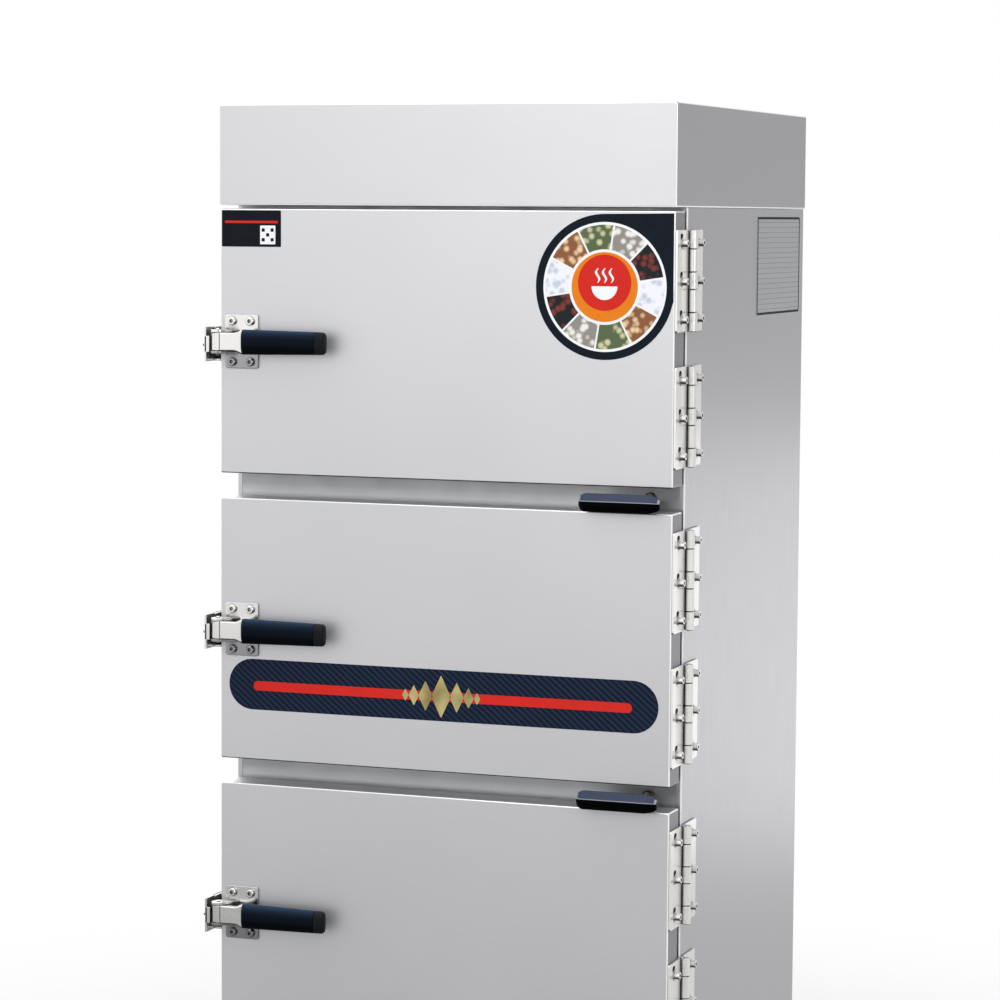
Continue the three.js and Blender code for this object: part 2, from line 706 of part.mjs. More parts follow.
function slotRow(y, rise) {
  const slots = [-1, 0, 1].map((i) =>
    block(
      [LEAF_FACE[0] - OVERRUN, LEAF_FACE[1] + OVERRUN],
      about(y, LEAF_SLOT_WIDTH / 2),
      about(HINGE_LENGTH / 2 + i * LEAF_HOLE_SPREAD + rise, LEAF_SLOT_LENGTH / 2),
    ),
  );
  return join(...slots);
}

// Every second knuckle, from the given one, each with the tongue that joins it to its leaf
function knuckles(first, side) {
  const tongue = onSide(side, 0, KNUCKLE_CLEAR + OVERRUN);
  const owned = [];
  let z = 0;
  KNUCKLE_SHARES.forEach((share, i) => {
    const top = z + share * HINGE_LENGTH;
    const low = i === 0 ? z : z + SEAT / 2;
    const high = i === KNUCKLE_SHARES.length - 1 ? top : top - SEAT / 2;
    z = top;
    if (i % 2 !== first) return;
    owned.push(rodZ(0, 0, [low, high], BARREL_RADIUS), block(LEAF_FACE, tongue, [low, high]));
  });
  return join(...owned);
}

function bodyHingeLeaf() {
  return join(
    block(LEAF_FACE, [KNUCKLE_CLEAR, BODY_LEAF_REACH], [0, HINGE_LENGTH]),
    knuckles(0, 1),
    boltRow(BODY_HOLE_REACH, 0),
    rodZ(0, 0, [0, HINGE_LENGTH], HINGE_PIN_RADIUS, SMALL_SIDES),
  );
}

function doorHingeLeaf() {
  const plate = block(LEAF_FACE, [LEAF_RUN_OFF - BODY_FRONT, -KNUCKLE_CLEAR], [0, HINGE_LENGTH]);
  const slotted = cut(join(plate, knuckles(1, -1)), slotRow(-DOOR_HOLE_REACH, LEAF_BOLT_DROP));
  const bore = rodZ(0, 0, [-OVERRUN, HINGE_LENGTH + OVERRUN], HINGE_PIN_RADIUS + SEAT, SMALL_SIDES);
  return cut(join(slotted, boltRow(-DOOR_HOLE_REACH, LEAF_BOLT_DROP)), bore);
}

// One door, about the middle of its front face
function doorSkin() {
  const full = block([-HALF_WIDTH, HALF_WIDTH], [0, DOOR_THICKNESS], about(0, DOOR_HEIGHT / 2));
  const hollow = block(
    about(0, HALF_WIDTH - SHEET),
    [SHEET, DOOR_THICKNESS + OVERRUN],
    about(0, DOOR_HEIGHT / 2 - SHEET),
  );
  return cut(full, hollow);
}

function doorLiner() {
  const halfWidth = HALF_WIDTH - SHEET - SEAT;
  const halfHeight = DOOR_HEIGHT / 2 - SHEET - SEAT;
  const front = DOOR_THICKNESS - LINER_PAN_DEPTH;
  const dishHalfWidth = MOUTH_HALF_WIDTH - DISH_INSET;
  const dishHalfHeight = MOUTH_HALF_HEIGHT - DISH_INSET;
  return cut(
    join(
      block([-halfWidth, halfWidth], [front, DOOR_THICKNESS], [-halfHeight, halfHeight]),
      block(about(0, dishHalfWidth), [front, DOOR_THICKNESS + DISH_RISE], about(0, dishHalfHeight)),
    ),
    block(
      about(0, halfWidth - SHEET),
      [front - OVERRUN, DOOR_THICKNESS - SHEET],
      about(0, halfHeight - SHEET),
    ),
    block(
      about(0, dishHalfWidth - SHEET),
      [front - OVERRUN, DOOR_THICKNESS + DISH_RISE - SHEET],
      about(0, dishHalfHeight - SHEET),
    ),
  );
}

function doorGasket() {
  const innerWidth = MOUTH_HALF_WIDTH + GASKET_INSET;
  const innerHeight = MOUTH_HALF_HEIGHT + GASKET_INSET;
  const front = DOOR_THICKNESS + SEAT;
  const back = BODY_FRONT - SEAT;
  return cut(
    block(about(0, innerWidth + GASKET_WIDTH), [front, back], about(0, innerHeight + GASKET_WIDTH)),
    block(about(0, innerWidth), [front - OVERRUN, back + OVERRUN], about(0, innerHeight)),
  );
}

// One latch, about the left edge of the door at its front face and mid height
function latchBase() {
  const face = -SEAT - LATCH_PLATE_THICK;
  const plateX = [LATCH_PLATE_LEFT, LATCH_PLATE_LEFT + LATCH_PLATE_WIDTH];
  const middle = (plateX[0] + plateX[1]) / 2;
  let base = block(plateX, [face, -SEAT], about(0, LATCH_PLATE_HEIGHT / 2));
  for (const side of [-1, 1]) {
    for (const up of [-1, 1]) {
      const bolt = rodY(
        middle + (side * LATCH_BOLT_SPREAD_X) / 2,
        [face - LATCH_BOLT_HEIGHT, face + LATCH_PLATE_THICK / 2],
        (up * LATCH_BOLT_SPREAD_Z) / 2,
        LATCH_BOLT_RADIUS,
        SMALL_SIDES,
      );
      base = join(base, bolt);
    }
    base = join(base, prism(earOutline(), onSide(side, EAR_INNER, EAR_OUTER)));
  }
  const pin = about(0, EAR_OUTER + LATCH_PIN_HEAD);
  return join(base, rodZ(LATCH_PIVOT_X, -LATCH_PIVOT_OUT, pin, LATCH_PIN_RADIUS, SMALL_SIDES));
}

// An ear seen from above: round at the pivot, widening to its root on the plate
function earOutline() {
  const steps = 6;
  const root = -SEAT - LATCH_PLATE_THICK / 2;
  const outline = [[LATCH_PLATE_LEFT, root], [EAR_ROOT_RIGHT, root]];
  for (let i = 0; i <= steps; i += 1) {
    const angle = -Math.PI / 4 - (i * Math.PI) / steps;
    outline.push([
      LATCH_PIVOT_X + EAR_RADIUS * Math.cos(angle),
      EAR_RADIUS * Math.sin(angle) - LATCH_PIVOT_OUT,
    ]);
  }
  return outline;
}

function latchLever() {
  const neckBack = GRIP_CENTRE_OUT - NECK_THICK / 2;
  const neckFront = GRIP_CENTRE_OUT + NECK_THICK / 2;
  const hub = rodZ(LATCH_PIVOT_X, -LATCH_PIVOT_OUT, about(0, HUB_HEIGHT / 2), HUB_RADIUS);
  const cam = block(
    [LATCH_PIVOT_X - CAM_REACH, LATCH_PIVOT_X],
    [-LATCH_PIVOT_OUT, CAM_WIDTH - LATCH_PIVOT_OUT],
    about(0, HUB_HEIGHT / 2),
  );
  const neck = block([LATCH_PIVOT_X, NECK_FLARE_X], [-neckFront, -neckBack], about(0, HUB_HEIGHT / 2));
  const flare = block(
    [NECK_FLARE_X, GRIP_LEFT - SEAT],
    [-neckFront, -neckBack],
    about(0, NECK_FLARE_HEIGHT / 2),
  );
  const tang = block(
    [NECK_FLARE_X, GRIP_LEFT + TANG_LENGTH],
    about(-GRIP_CENTRE_OUT, TANG_THICK / 2),
    about(0, TANG_HEIGHT / 2),
  );
  const bore = rodZ(
    LATCH_PIVOT_X,
    -LATCH_PIVOT_OUT,
    about(0, HUB_HEIGHT),
    LATCH_PIN_RADIUS + SEAT,
    SMALL_SIDES,
  );
  return cut(join(hub, cam, neck, flare, tang), bore);
}

function latchGrip() {
  const body = taperedBar(
    [GRIP_LEFT, GRIP_LEFT + GRIP_LENGTH],
    [-GRIP_CENTRE_OUT, 0],
    { thick: GRIP_THICK, height: GRIP_HEIGHT },
    { thick: GRIP_END_THICK, height: GRIP_END_HEIGHT },
    GRIP_CORNER,
    GRIP_CORNER_STEPS,
  );
  const socket = block(
    [GRIP_LEFT - OVERRUN, GRIP_LEFT + TANG_LENGTH + SEAT],
    about(-GRIP_CENTRE_OUT, TANG_THICK / 2 + SEAT),
    about(0, TANG_HEIGHT / 2 + SEAT),
  );
  return cut(body, socket);
}

// One keeper, about the left side panel at the door fronts and the latch's height
function keeper() {
  const web = [-KEEPER_OUT, KEEPER_SHEET - KEEPER_OUT];
  const footFront = BODY_FRONT + KEEPER_FOOT_GAP;
  const half = KEEPER_HEIGHT / 2;
  const lipEnd = LATCH_PIVOT_X - CAM_REACH - KEEPER_LIP_CLEAR;
  const turned = [footFront, footFront + KEEPER_SHEET];
  const lip = [-KEEPER_FRONT, KEEPER_SHEET - KEEPER_FRONT];
  const pieces = [
    block(web, [-KEEPER_FRONT, footFront + KEEPER_SHEET], [-half, half]),
    block([-KEEPER_OUT, lipEnd], lip, about(0, KEEPER_LIP_HEIGHT / 2)),
    block([-KEEPER_OUT, -SEAT], turned, [-half, half]),
    block([-SEAT - KEEPER_SHEET, -SEAT], [footFront, footFront + KEEPER_FOOT_LENGTH], [-half, half]),
    rodX([-STOP_BOLT_OUT, -STOP_BOLT_IN], -STOP_BOLT_FRONT, 0, STOP_BOLT_RADIUS, SMALL_SIDES),
  ];
  for (const side of [-1, 1]) {
    const layer = onSide(side, half - KEEPER_SHEET, half);
    pieces.push(block([-KEEPER_OUT, -KEEPER_FLANGE_IN], [KEEPER_FLANGE_START, turned[1]], layer));
    const head = [-SEAT - KEEPER_SHEET - KEEPER_BOLT_HEIGHT, -SEAT - KEEPER_SHEET / 2];
    const boltY = footFront + KEEPER_FOOT_LENGTH / 2 + KEEPER_SHEET;
    pieces.push(rodX(head, boltY, (side * KEEPER_BOLT_SPREAD) / 2, KEEPER_BOLT_RADIUS, SMALL_SIDES));
  }
  return join(...pieces);
}

// One valve lever, about its pivot at the height of the grip's middle
function valveLever() {
  const gripX = [VALVE_GRIP_TAIL - VALVE_GRIP_LENGTH, VALVE_GRIP_TAIL];
  const gripY = -VALVE_GRIP_GAP - VALVE_GRIP_THICK / 2;
  const full = { thick: VALVE_GRIP_THICK, height: VALVE_GRIP_HEIGHT };
  const end = { thick: VALVE_GRIP_THICK - VALVE_GRIP_END, height: VALVE_GRIP_HEIGHT - VALVE_GRIP_END };
  const inner = [gripX[0] + VALVE_GRIP_END, gripX[1] - VALVE_GRIP_END];
  const section = (range, first, last, corner) =>
    taperedBar(range, [gripY, 0], first, last, corner, VALVE_CORNER_STEPS);
  const middle = section(inner, full, full, VALVE_GRIP_CORNER);
  const leftEnd = section([gripX[0], inner[0]], end, full, VALVE_GRIP_CORNER - VALVE_GRIP_END / 2);
  const rightEnd = section([inner[1], gripX[1]], full, end, VALVE_GRIP_CORNER);
  const bar = block(
    [VALVE_GRIP_GAP - VALVE_BAR_LENGTH, VALVE_GRIP_GAP],
    [-VALVE_GRIP_GAP - VALVE_BAR_TANG, VALVE_GRIP_GAP],
    [VALVE_BAR_BOTTOM, VALVE_BAR_TOP],
  );
  const hole = rodZ(0, 0, [VALVE_BAR_BOTTOM - OVERRUN, VALVE_BAR_TOP + OVERRUN], VALVE_PIN_RADIUS + SEAT);
  return cut(join(middle, leftEnd, rightEnd, bar), hole);
}

// One adjustable foot, about its own axis: a pad, and a stem that slides in the sleeve
function foot() {
  return join(
    rodZ(0, 0, [0, FOOT_TAPER], FOOT_TIP_RADIUS, ROUND_SIDES, FOOT_RADIUS),
    rodZ(0, 0, [FOOT_TAPER, FOOT_BODY], FOOT_RADIUS),
    rodZ(0, 0, [FOOT_TAPER, FOOT_HEIGHT - STEM_TOP_GAP], STEM_RADIUS),
  );
}

// The whole cabinet
const steamerCabinet = new THREE.Group();
steamerCabinet.name = 'steamer_cabinet';
const cabinet = groupAt(
  steamerCabinet,
  (REACH_LEFT - REACH_RIGHT) / 2,
  (REACH_FRONT - REACH_BACK) / 2,
  0,
);

addPiece(cabinet, 'left_side_panel', sidePanel(-1), 'satinSteel');
addPiece(cabinet, 'right_side_panel', sidePanel(1), 'satinSteel');
addPiece(cabinet, 'back_panel', backPanel(), 'satinSteel');
addPiece(cabinet, 'front_frame', frontFrame(), 'satinSteel');
addPiece(cabinet, 'base_pan', basePan(), 'satinSteel');
addPiece(cabinet, 'base_cover', baseCover(), 'satinSteel');
addPiece(cabinet, 'top_hood', topHood(), 'satinSteel');
addPiece(cabinet, 'insulation', insulation(), 'mineralWool');
addPiece(cabinet, 'water_tank', waterTank(), 'linerSteel');
addPiece(cabinet, 'heating_element', heatingElement(), 'linerSteel');
addPiece(cabinet, 'steam_riser', steamRiser(), 'linerSteel');

const inletZ = TANK_TOP - INLET_DROP;
const inTank = TANK_BACK - PIPE_INSIDE;
const nearPanel = BACK_PANEL_FACE - GLAND_INSIDE;
const drainZ = TANK_BOTTOM + DRAIN_RISE;
const inlet = backFitting(INLET_X, inletZ, INLET_RADIUS, inTank, FITTING_REACH);
const drain = backFitting(DRAIN_X, drainZ, DRAIN_RADIUS, inTank, FITTING_REACH);
const gland = backFitting(GLAND_X, inletZ, GLAND_RADIUS, nearPanel, FITTING_REACH - GLAND_INSIDE);
addPiece(cabinet, 'water_inlet', inlet, 'brass');
addPiece(cabinet, 'drain_pipe', drain, 'linerSteel');
addPiece(cabinet, 'cable_gland', gland, 'footPlastic');

for (const { side, end, x, y } of FOOT_PLACES) {
  const place = groupAt(cabinet, x, y, 0);
  addPiece(place, `${end}_${side < 0 ? 'left' : 'right'}_foot`, foot(), 'footPlastic');
}

LEVELS.forEach((level, i) => {
  const chamber = groupAt(cabinet, 0, 0, doorMiddle(i));
  addPiece(chamber, `${level}_chamber`, chamberLiner(), 'linerSteel');
  addPiece(chamber, `${level}_tray_rack`, trayRack(), 'chromedWire');

  const door = groupAt(cabinet, 0, 0, doorMiddle(i));
  addPiece(door, `${level}_door_skin`, doorSkin(), 'satinSteel');
  addPiece(door, `${level}_door_liner`, doorLiner(), 'linerSteel');
  addPiece(door, `${level}_door_gasket`, doorGasket(), 'rubber');

  const hingePlaces = { bottom: HINGE_INSET, top: DOOR_HEIGHT - HINGE_INSET - HINGE_LENGTH };
  for (const [end, rise] of Object.entries(hingePlaces)) {
    const hinge = groupAt(cabinet, HINGE_AXIS_X, BODY_FRONT, doorBottom(i) + rise);
    addPiece(hinge, `${level}_${end}_hinge_body_leaf`, bodyHingeLeaf(), 'polishedSteel');
    addPiece(hinge, `${level}_${end}_hinge_door_leaf`, doorHingeLeaf(), 'polishedSteel');
  }

  const latch = groupAt(cabinet, -HALF_WIDTH, 0, doorMiddle(i));
  addPiece(latch, `${level}_latch_base`, latchBase(), 'polishedSteel');
  addPiece(latch, `${level}_latch_lever`, latchLever(), 'polishedSteel');
  addPiece(latch, `${level}_latch_grip`, latchGrip(), 'gripPlastic');
  addPiece(latch, `${level}_keeper`, keeper(), 'polishedSteel');

  const valve = groupAt(cabinet, VALVE_X, VALVE_PIVOT_BACK, valveMiddle(i));
  addPiece(valve, `${level}_valve_lever`, valveLever(), 'leverPlastic');
});

export default steamerCabinet;
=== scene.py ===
# %% [markdown]
# # A three-door steaming cabinet
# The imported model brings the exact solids, their bodies and their joints. This notebook dresses
# them: it gives each surface the finish of the real one, and where a real piece has round edges,
# sockets or seams that the plain solids lack, it builds that piece again over the solid.

import json
import math

import bmesh
import bpy
from mathutils import Matrix, Vector


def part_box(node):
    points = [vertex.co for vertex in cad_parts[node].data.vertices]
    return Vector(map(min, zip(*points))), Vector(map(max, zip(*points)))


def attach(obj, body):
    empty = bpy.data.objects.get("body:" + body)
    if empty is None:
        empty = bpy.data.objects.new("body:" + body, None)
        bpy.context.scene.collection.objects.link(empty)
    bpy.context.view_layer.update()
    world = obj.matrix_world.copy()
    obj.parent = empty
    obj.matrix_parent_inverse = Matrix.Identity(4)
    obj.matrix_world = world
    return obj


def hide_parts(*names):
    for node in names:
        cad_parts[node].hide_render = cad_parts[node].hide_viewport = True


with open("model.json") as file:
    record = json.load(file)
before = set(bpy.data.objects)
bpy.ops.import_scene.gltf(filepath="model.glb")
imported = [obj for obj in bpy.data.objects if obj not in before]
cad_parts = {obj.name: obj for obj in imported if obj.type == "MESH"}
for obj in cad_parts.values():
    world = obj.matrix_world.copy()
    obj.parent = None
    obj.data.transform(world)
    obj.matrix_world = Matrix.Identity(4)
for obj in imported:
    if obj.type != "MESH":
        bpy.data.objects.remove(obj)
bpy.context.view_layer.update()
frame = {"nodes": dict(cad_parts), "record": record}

# %% [markdown]
# ## The camera
# The viewpoint was worked out from the photograph's straight edges, before anything was
# modelled. Three turns say where it looks: round the vertical, up and down, and a slight roll.

# %% Camera
CAMERA_PLACE = Vector((1.69671, -4.68073, 1.46253))
CAMERA_YAW = -0.35322
CAMERA_PITCH = 0.08645
CAMERA_ROLL = 0.00637
FOCAL_PIXELS = 3284.87
IMAGE_PIXELS = 1000
SENSOR_WIDTH = 36
VIEW_DEPTH = 60

yaw = Matrix.Rotation(CAMERA_YAW, 3, "Z")
pitch = Matrix.Rotation(CAMERA_PITCH, 3, "X")
roll = Matrix.Rotation(CAMERA_ROLL, 3, "Y")
right, forward, up = roll @ pitch @ yaw
facing = Matrix((right, up, -forward)).transposed()
lens = bpy.data.cameras.new("photo_camera")
lens.sensor_width = SENSOR_WIDTH
lens.lens = FOCAL_PIXELS / IMAGE_PIXELS * SENSOR_WIDTH
lens.clip_end = VIEW_DEPTH
camera = bpy.data.objects.new("photo_camera", lens)
camera.matrix_world = Matrix.Translation(CAMERA_PLACE) @ facing.to_4x4()
bpy.context.scene.collection.objects.link(camera)
bpy.context.scene.camera = camera
print("lens:", round(lens.lens, 2), "mm")

# %% [markdown]
# ## Colour and node helpers
# Colours are written as the hex values that a screen shows, and one function turns them into
# the linear values that shaders work with. A second function adds a shader node with its
# settings and its links, so that each finish below reads as a short list of nodes.

# %% Helpers for finishes
MM = 0.001
AO_SAMPLES = 8
NOISE_SPAN = {"From_Min": 0.3, "From_Max": 0.7}
FINISH = {}


def linear(hex_code):
    channels = [int(hex_code[i : i + 2], 16) / 255 for i in (1, 3, 5)]
    curve = [c / 12.92 if c <= 0.04045 else ((c + 0.055) / 1.055) ** 2.4 for c in channels]
    return (*curve, 1.0)


def socket(node, key):
    """An input by its name, or by its number after an underscore."""
    if key[0] == "_":
        return node.inputs[int(key[1:])]
    name = key.replace("_", " ")
    return next(s for s in node.inputs if s.name == name and s.enabled)


def add(tree, kind, **inputs):
    """A node with its settings, hex colours, numbers and links, each by name. Of a node that is
    linked to it, it takes the first output in use."""
    node = tree.nodes.new(f"ShaderNode{kind}")
    for key, value in inputs.items():
        if isinstance(value, bpy.types.Node):
            value = next(s for s in value.outputs if s.enabled)
        if isinstance(value, bpy.types.NodeSocket):
            tree.links.new(value, socket(node, key))
        elif hasattr(node, key):
            setattr(node, key, value)
        else:
            socket(node, key).default_value = linear(value) if isinstance(value, str) else value
    return node


def new_finish(slot, name):
    """An empty finish, kept by its slot: its nodes and its coordinates."""
    finish = bpy.data.materials.new(name)
    finish.use_nodes = True
    finish.node_tree.nodes.clear()
    FINISH[slot] = finish
    return finish.node_tree, add(finish.node_tree, "TexCoord").outputs

# %% [markdown]
# ## Stage and light
# A white studio: a pale floor that fades into white with distance, and soft boxes. Metal shows
# what surrounds it, so the surroundings are a smooth gradient, pale on the left and in front and
# greyer on the right. That shades the side of the cabinet as in the photograph.

# %% World
FRONT_GLOW = 1.0
RIGHT_GLOW = 0.36
FILL = 0.84

world = bpy.data.worlds.new("studio")
world.use_nodes = True
bpy.context.scene.world = world
bpy.context.scene.view_settings.view_transform = "Standard"
tree = world.node_tree
tree.nodes.clear()
direction = add(tree, "SeparateXYZ", Vector=add(tree, "TexCoord").outputs["Generated"])
around = add(tree, "MapRange", interpolation_type="SMOOTHSTEP", Value=direction.outputs["X"],
             From_Min=-0.1, From_Max=0.5, To_Min=FRONT_GLOW, To_Max=RIGHT_GLOW)
path = add(tree, "LightPath").outputs
mirrored = add(tree, "Math", operation="MAXIMUM", _0=path["Is Glossy Ray"],
               _1=path["Is Transmission Ray"])
level = add(tree, "Mix", data_type="FLOAT", Factor=mirrored, A=FILL, B=around)
shown = add(tree, "Mix", data_type="FLOAT", Factor=path["Is Camera Ray"], A=level, B=1.0)
add(tree, "OutputWorld", Surface=add(tree, "Background", Color="#FFFFFF", Strength=shown))
print("world:", FRONT_GLOW, RIGHT_GLOW, FILL)

# %% [markdown]
# The floor is matt near the cabinet. Further out it glows, so that it runs into the white of the
# surroundings. What polished steel mirrors of it is dim beside the cabinet and brighter far in
# front, and even behind.

# %% Floor
FLOOR_HALF = 12
FADE = (0.7, 2.0)
GLOW_REACH = (1.2, 7.5)
FRONT_FLOOR_GLOW = (0.32, 0.84)
BACK_FLOOR_GLOW = 0.58

floor_mesh = bpy.data.meshes.new("floor")
corners = [(u * FLOOR_HALF, v * FLOOR_HALF, 0) for u, v in ((-1, -1), (1, -1), (1, 1), (-1, 1))]
floor_mesh.from_pydata(corners, [], [(0, 1, 2, 3)])
floor = bpy.data.objects.new("floor", floor_mesh)
bpy.context.scene.collection.objects.link(floor)

tree, place = new_finish("floor", "pale studio floor")
distance = add(tree, "VectorMath", operation="LENGTH", _0=place["Object"])
fade = add(tree, "MapRange", interpolation_type="SMOOTHSTEP", Value=distance, From_Min=FADE[0],
           From_Max=FADE[1])
path = add(tree, "LightPath").outputs
mirrored = add(tree, "Math", operation="MAXIMUM", _0=path["Is Glossy Ray"],
               _1=path["Is Transmission Ray"])
share = add(tree, "Math", operation="MULTIPLY_ADD", _0=fade, _1=path["Is Camera Ray"],
            _2=mirrored)
in_front = add(tree, "MapRange", Value=distance, From_Min=GLOW_REACH[0], From_Max=GLOW_REACH[1],
               To_Min=FRONT_FLOOR_GLOW[0], To_Max=FRONT_FLOOR_GLOW[1])
split = add(tree, "SeparateXYZ", Vector=place["Object"])
behind = add(tree, "MapRange", Value=split.outputs["Y"], From_Min=-0.5, From_Max=0.5)
reflected = add(tree, "Mix", data_type="FLOAT", Factor=behind, A=in_front, B=BACK_FLOOR_GLOW)
strength = add(tree, "Mix", data_type="FLOAT", Factor=path["Is Camera Ray"], A=reflected, B=1.0)
matt = add(tree, "BsdfPrincipled", Base_Color="#F1F1F0", Roughness=0.8)
glow = add(tree, "Emission", Strength=strength)
add(tree, "OutputMaterial", Surface=add(tree, "MixShader", _0=share, _1=matt, _2=glow))
floor_mesh.materials.append(FINISH["floor"])
print("floor:", 2 * FLOOR_HALF, "m")

# %% Lamps
AIM = Vector((0, 0, 0.9))
SOFT_BOXES = (
    ("key_box", (0.15, -3.3, 2.2), 2.9, 1.7, 12),
    ("fill_box", (3.4, -2.6, 2.2), 1.6, 2.4, 22),
    ("side_box", (1.2, 2.6, 0.45), 1.2, 1.0, 1.9),
    ("rear_box", (-2.4, 3.6, 3.2), 2.6, 1.8, 36),
    ("top_box", (-0.4, -0.75, 3.1), 2.8, 1.3, 15),
)

for name, spot, width, height, power in SOFT_BOXES:
    lamp = bpy.data.lights.new(name, "AREA")
    lamp.shape = "RECTANGLE"
    lamp.size = width
    lamp.size_y = height
    lamp.energy = power
    holder = bpy.data.objects.new(name, lamp)
    holder.location = spot
    holder.rotation_euler = (AIM - Vector(spot)).to_track_quat("-Z", "Y").to_euler()
    holder.visible_camera = False
    bpy.context.scene.collection.objects.link(holder)
print("lamps:", len(SOFT_BOXES))

# %% [markdown]
# ## Brushed stainless sheet
# The doors, the hood and the body are 1.5 mm stainless sheet, brushed on a belt of about 240 grit
# (a No. 4 finish). The belt leaves fine scratches along the sheet, which blur what it reflects.
# The real lines are some 0.1 mm wide, too fine for this view, so they are drawn 1 mm wide here.
# Doors and hood are brushed from side to side, and the tall side sheets up and down. The belt can't
# follow a fold, so the round bends keep the smoother, glossier skin of the rolled sheet, and they
# are found by their slanting normals. Their near-white colour is a painted highlight. Those that
# face down on the hood and the base, and those that face right on doors and sides, are made less
# metallic, so that this painted highlight shows plainly. On the doors, faces turned to the side get
# a darker colour, a painted shade. Undersides get a flat grey, a painted shade, and the doors'
# lower bends a near-black painted shadow line.

# %% Brushed steel
SCRATCHES = 900
SWEEP = 14
BEND_FULL = 0.93
BEND_NONE = 0.995
BEND_ROUGHNESS = 0.12
# The bends' near-white colour is a painted highlight.
PAINTED_BEND_HIGHLIGHT = "#FBFBFC"
# The undersides' grey is a painted shade.
PAINTED_UNDERSIDE_SHADE = "#77787B"


def brushed_steel(slot, name, scale, tones, roughness, side, glint, painted_lower_bend=PAINTED_BEND_HIGHLIGHT, metal=1.0):
    """A glint is an axis and a range of the normal, and how metallic a bend is there. Bends turned
    that way lose metal, so their near-white colour shows as a painted highlight.
    """
    tree, place = new_finish(slot, name)
    stretch = add(tree, "Mapping", Vector=place["Object"], Scale=scale)
    grain = add(tree, "TexNoise", Vector=stretch, Scale=1.0, Detail=3.0, Roughness=0.6)
    cloud = add(tree, "TexNoise", Vector=place["Object"], Scale=2.4, Detail=2.0)
    both = add(tree, "Math", operation="MULTIPLY_ADD", _0=grain, _1=0.55, _2=cloud)
    shade = add(tree, "MapRange", Value=both, From_Min=0.5, From_Max=1.0)
    tone = add(tree, "Mix", data_type="RGBA", Factor=shade, A=tones[0], B=tones[1])

    facing = add(tree, "SeparateXYZ", Vector=place["Normal"]).outputs
    size = add(tree, "VectorMath", operation="ABSOLUTE", _0=place["Normal"])
    parts = add(tree, "SeparateXYZ", Vector=size).outputs
    pair = add(tree, "Math", operation="MAXIMUM", _0=parts["X"], _1=parts["Y"])
    most = add(tree, "Math", operation="MAXIMUM", _0=pair, _1=parts["Z"])
    bend = add(tree, "MapRange", Value=most, From_Min=BEND_FULL, From_Max=BEND_NONE, To_Min=1.0,
               To_Max=0.0)
    # Faces turned to the side take the side colour, a painted shade on the doors.
    beside = add(tree, "MapRange", Value=parts["X"], From_Min=0.9, From_Max=0.99)
    tone = add(tree, "Mix", data_type="RGBA", Factor=beside, A=tone, B=side)
    # Bends facing down take the lower-bend colour: near-white, a painted highlight, and on the
    # doors near-black, a painted shadow line.
    low = add(tree, "MapRange", Value=facing["Z"], From_Min=-0.3, From_Max=-0.4)
    edge = add(tree, "Mix", data_type="RGBA", Factor=low, A=PAINTED_BEND_HIGHLIGHT, B=painted_lower_bend)
    # Bends take their painted highlight colour here.
    tone = add(tree, "Mix", data_type="RGBA", Factor=bend, A=tone, B=edge)
    # Undersides take the flat grey of painted shade.
    painted_underside_mask = add(tree, "MapRange", Value=facing["Z"], From_Min=-0.9, From_Max=-0.98)
    tone = add(tree, "Mix", data_type="RGBA", Factor=painted_underside_mask, A=tone, B=PAINTED_UNDERSIDE_SHADE)

    rough = add(tree, "MapRange", Value=grain, **NOISE_SPAN, To_Min=roughness[0],
                To_Max=roughness[1])
    rough = add(tree, "Mix", data_type="FLOAT", Factor=bend, A=rough, B=BEND_ROUGHNESS)
    # Bends turned along the glint axis lose metal, so their painted highlight shows.
    axis, first, full, matt = glint
    slant = add(tree, "MapRange", Value=facing[axis], From_Min=first, From_Max=full)
    painted_glint_mask = add(tree, "Math", operation="MULTIPLY", _0=bend, _1=slant)
    shine = add(tree, "Mix", data_type="FLOAT", Factor=painted_glint_mask, A=metal, B=matt)
    relief = add(tree, "Bump", Strength=0.05, Distance=0.0002, Height=grain)
    skin = add(tree, "BsdfPrincipled", Metallic=shine, Base_Color=tone, Roughness=rough,
               Normal=relief)
    add(tree, "OutputMaterial", Surface=skin)


# The door finish's darker side colour is a painted shade, and its near-black lower bends are a
# painted shadow line.
brushed_steel("satin_steel", "stainless brushed across", (SWEEP, SCRATCHES, SCRATCHES),
              ("#D7D7DA", "#DEDEE1"), (0.38, 0.48), "#D7D7DA", ("Z", 0.0, -0.1, 0.25))
brushed_steel("satin_upright", "stainless brushed upright", (SCRATCHES, SCRATCHES, SWEEP),
              ("#D2D2D6", "#DADADE"), (0.3, 0.4), "#D6D6DA", ("X", 0.1, 0.3, 0.15))
brushed_steel("satin_door", "stainless brushed across, folded edges", (SWEEP, SCRATCHES, SCRATCHES),
              ("#D9D9DC", "#E0E0E3"), (0.44, 0.52), "#ABABAE", ("X", 0.1, 0.3, 0.15),
              painted_lower_bend="#151618", metal=0.85)
print("brushed: satin_steel, satin_upright, satin_door")

# %% [markdown]
# ## Frame between the doors
# The frame behind the doors is the same sheet, but it is left with its dull mill finish. Along the
# top of each gap a grey band is a painted shadow of the door above, and within it the corners and
# seams get a darker painted shade, by how enclosed each point is.

# %% Mill finish
FIRST_DOOR = 0.246
DOOR_PITCH = 0.42
PAINTED_SHADOW_BAND = (0.928, 0.958)

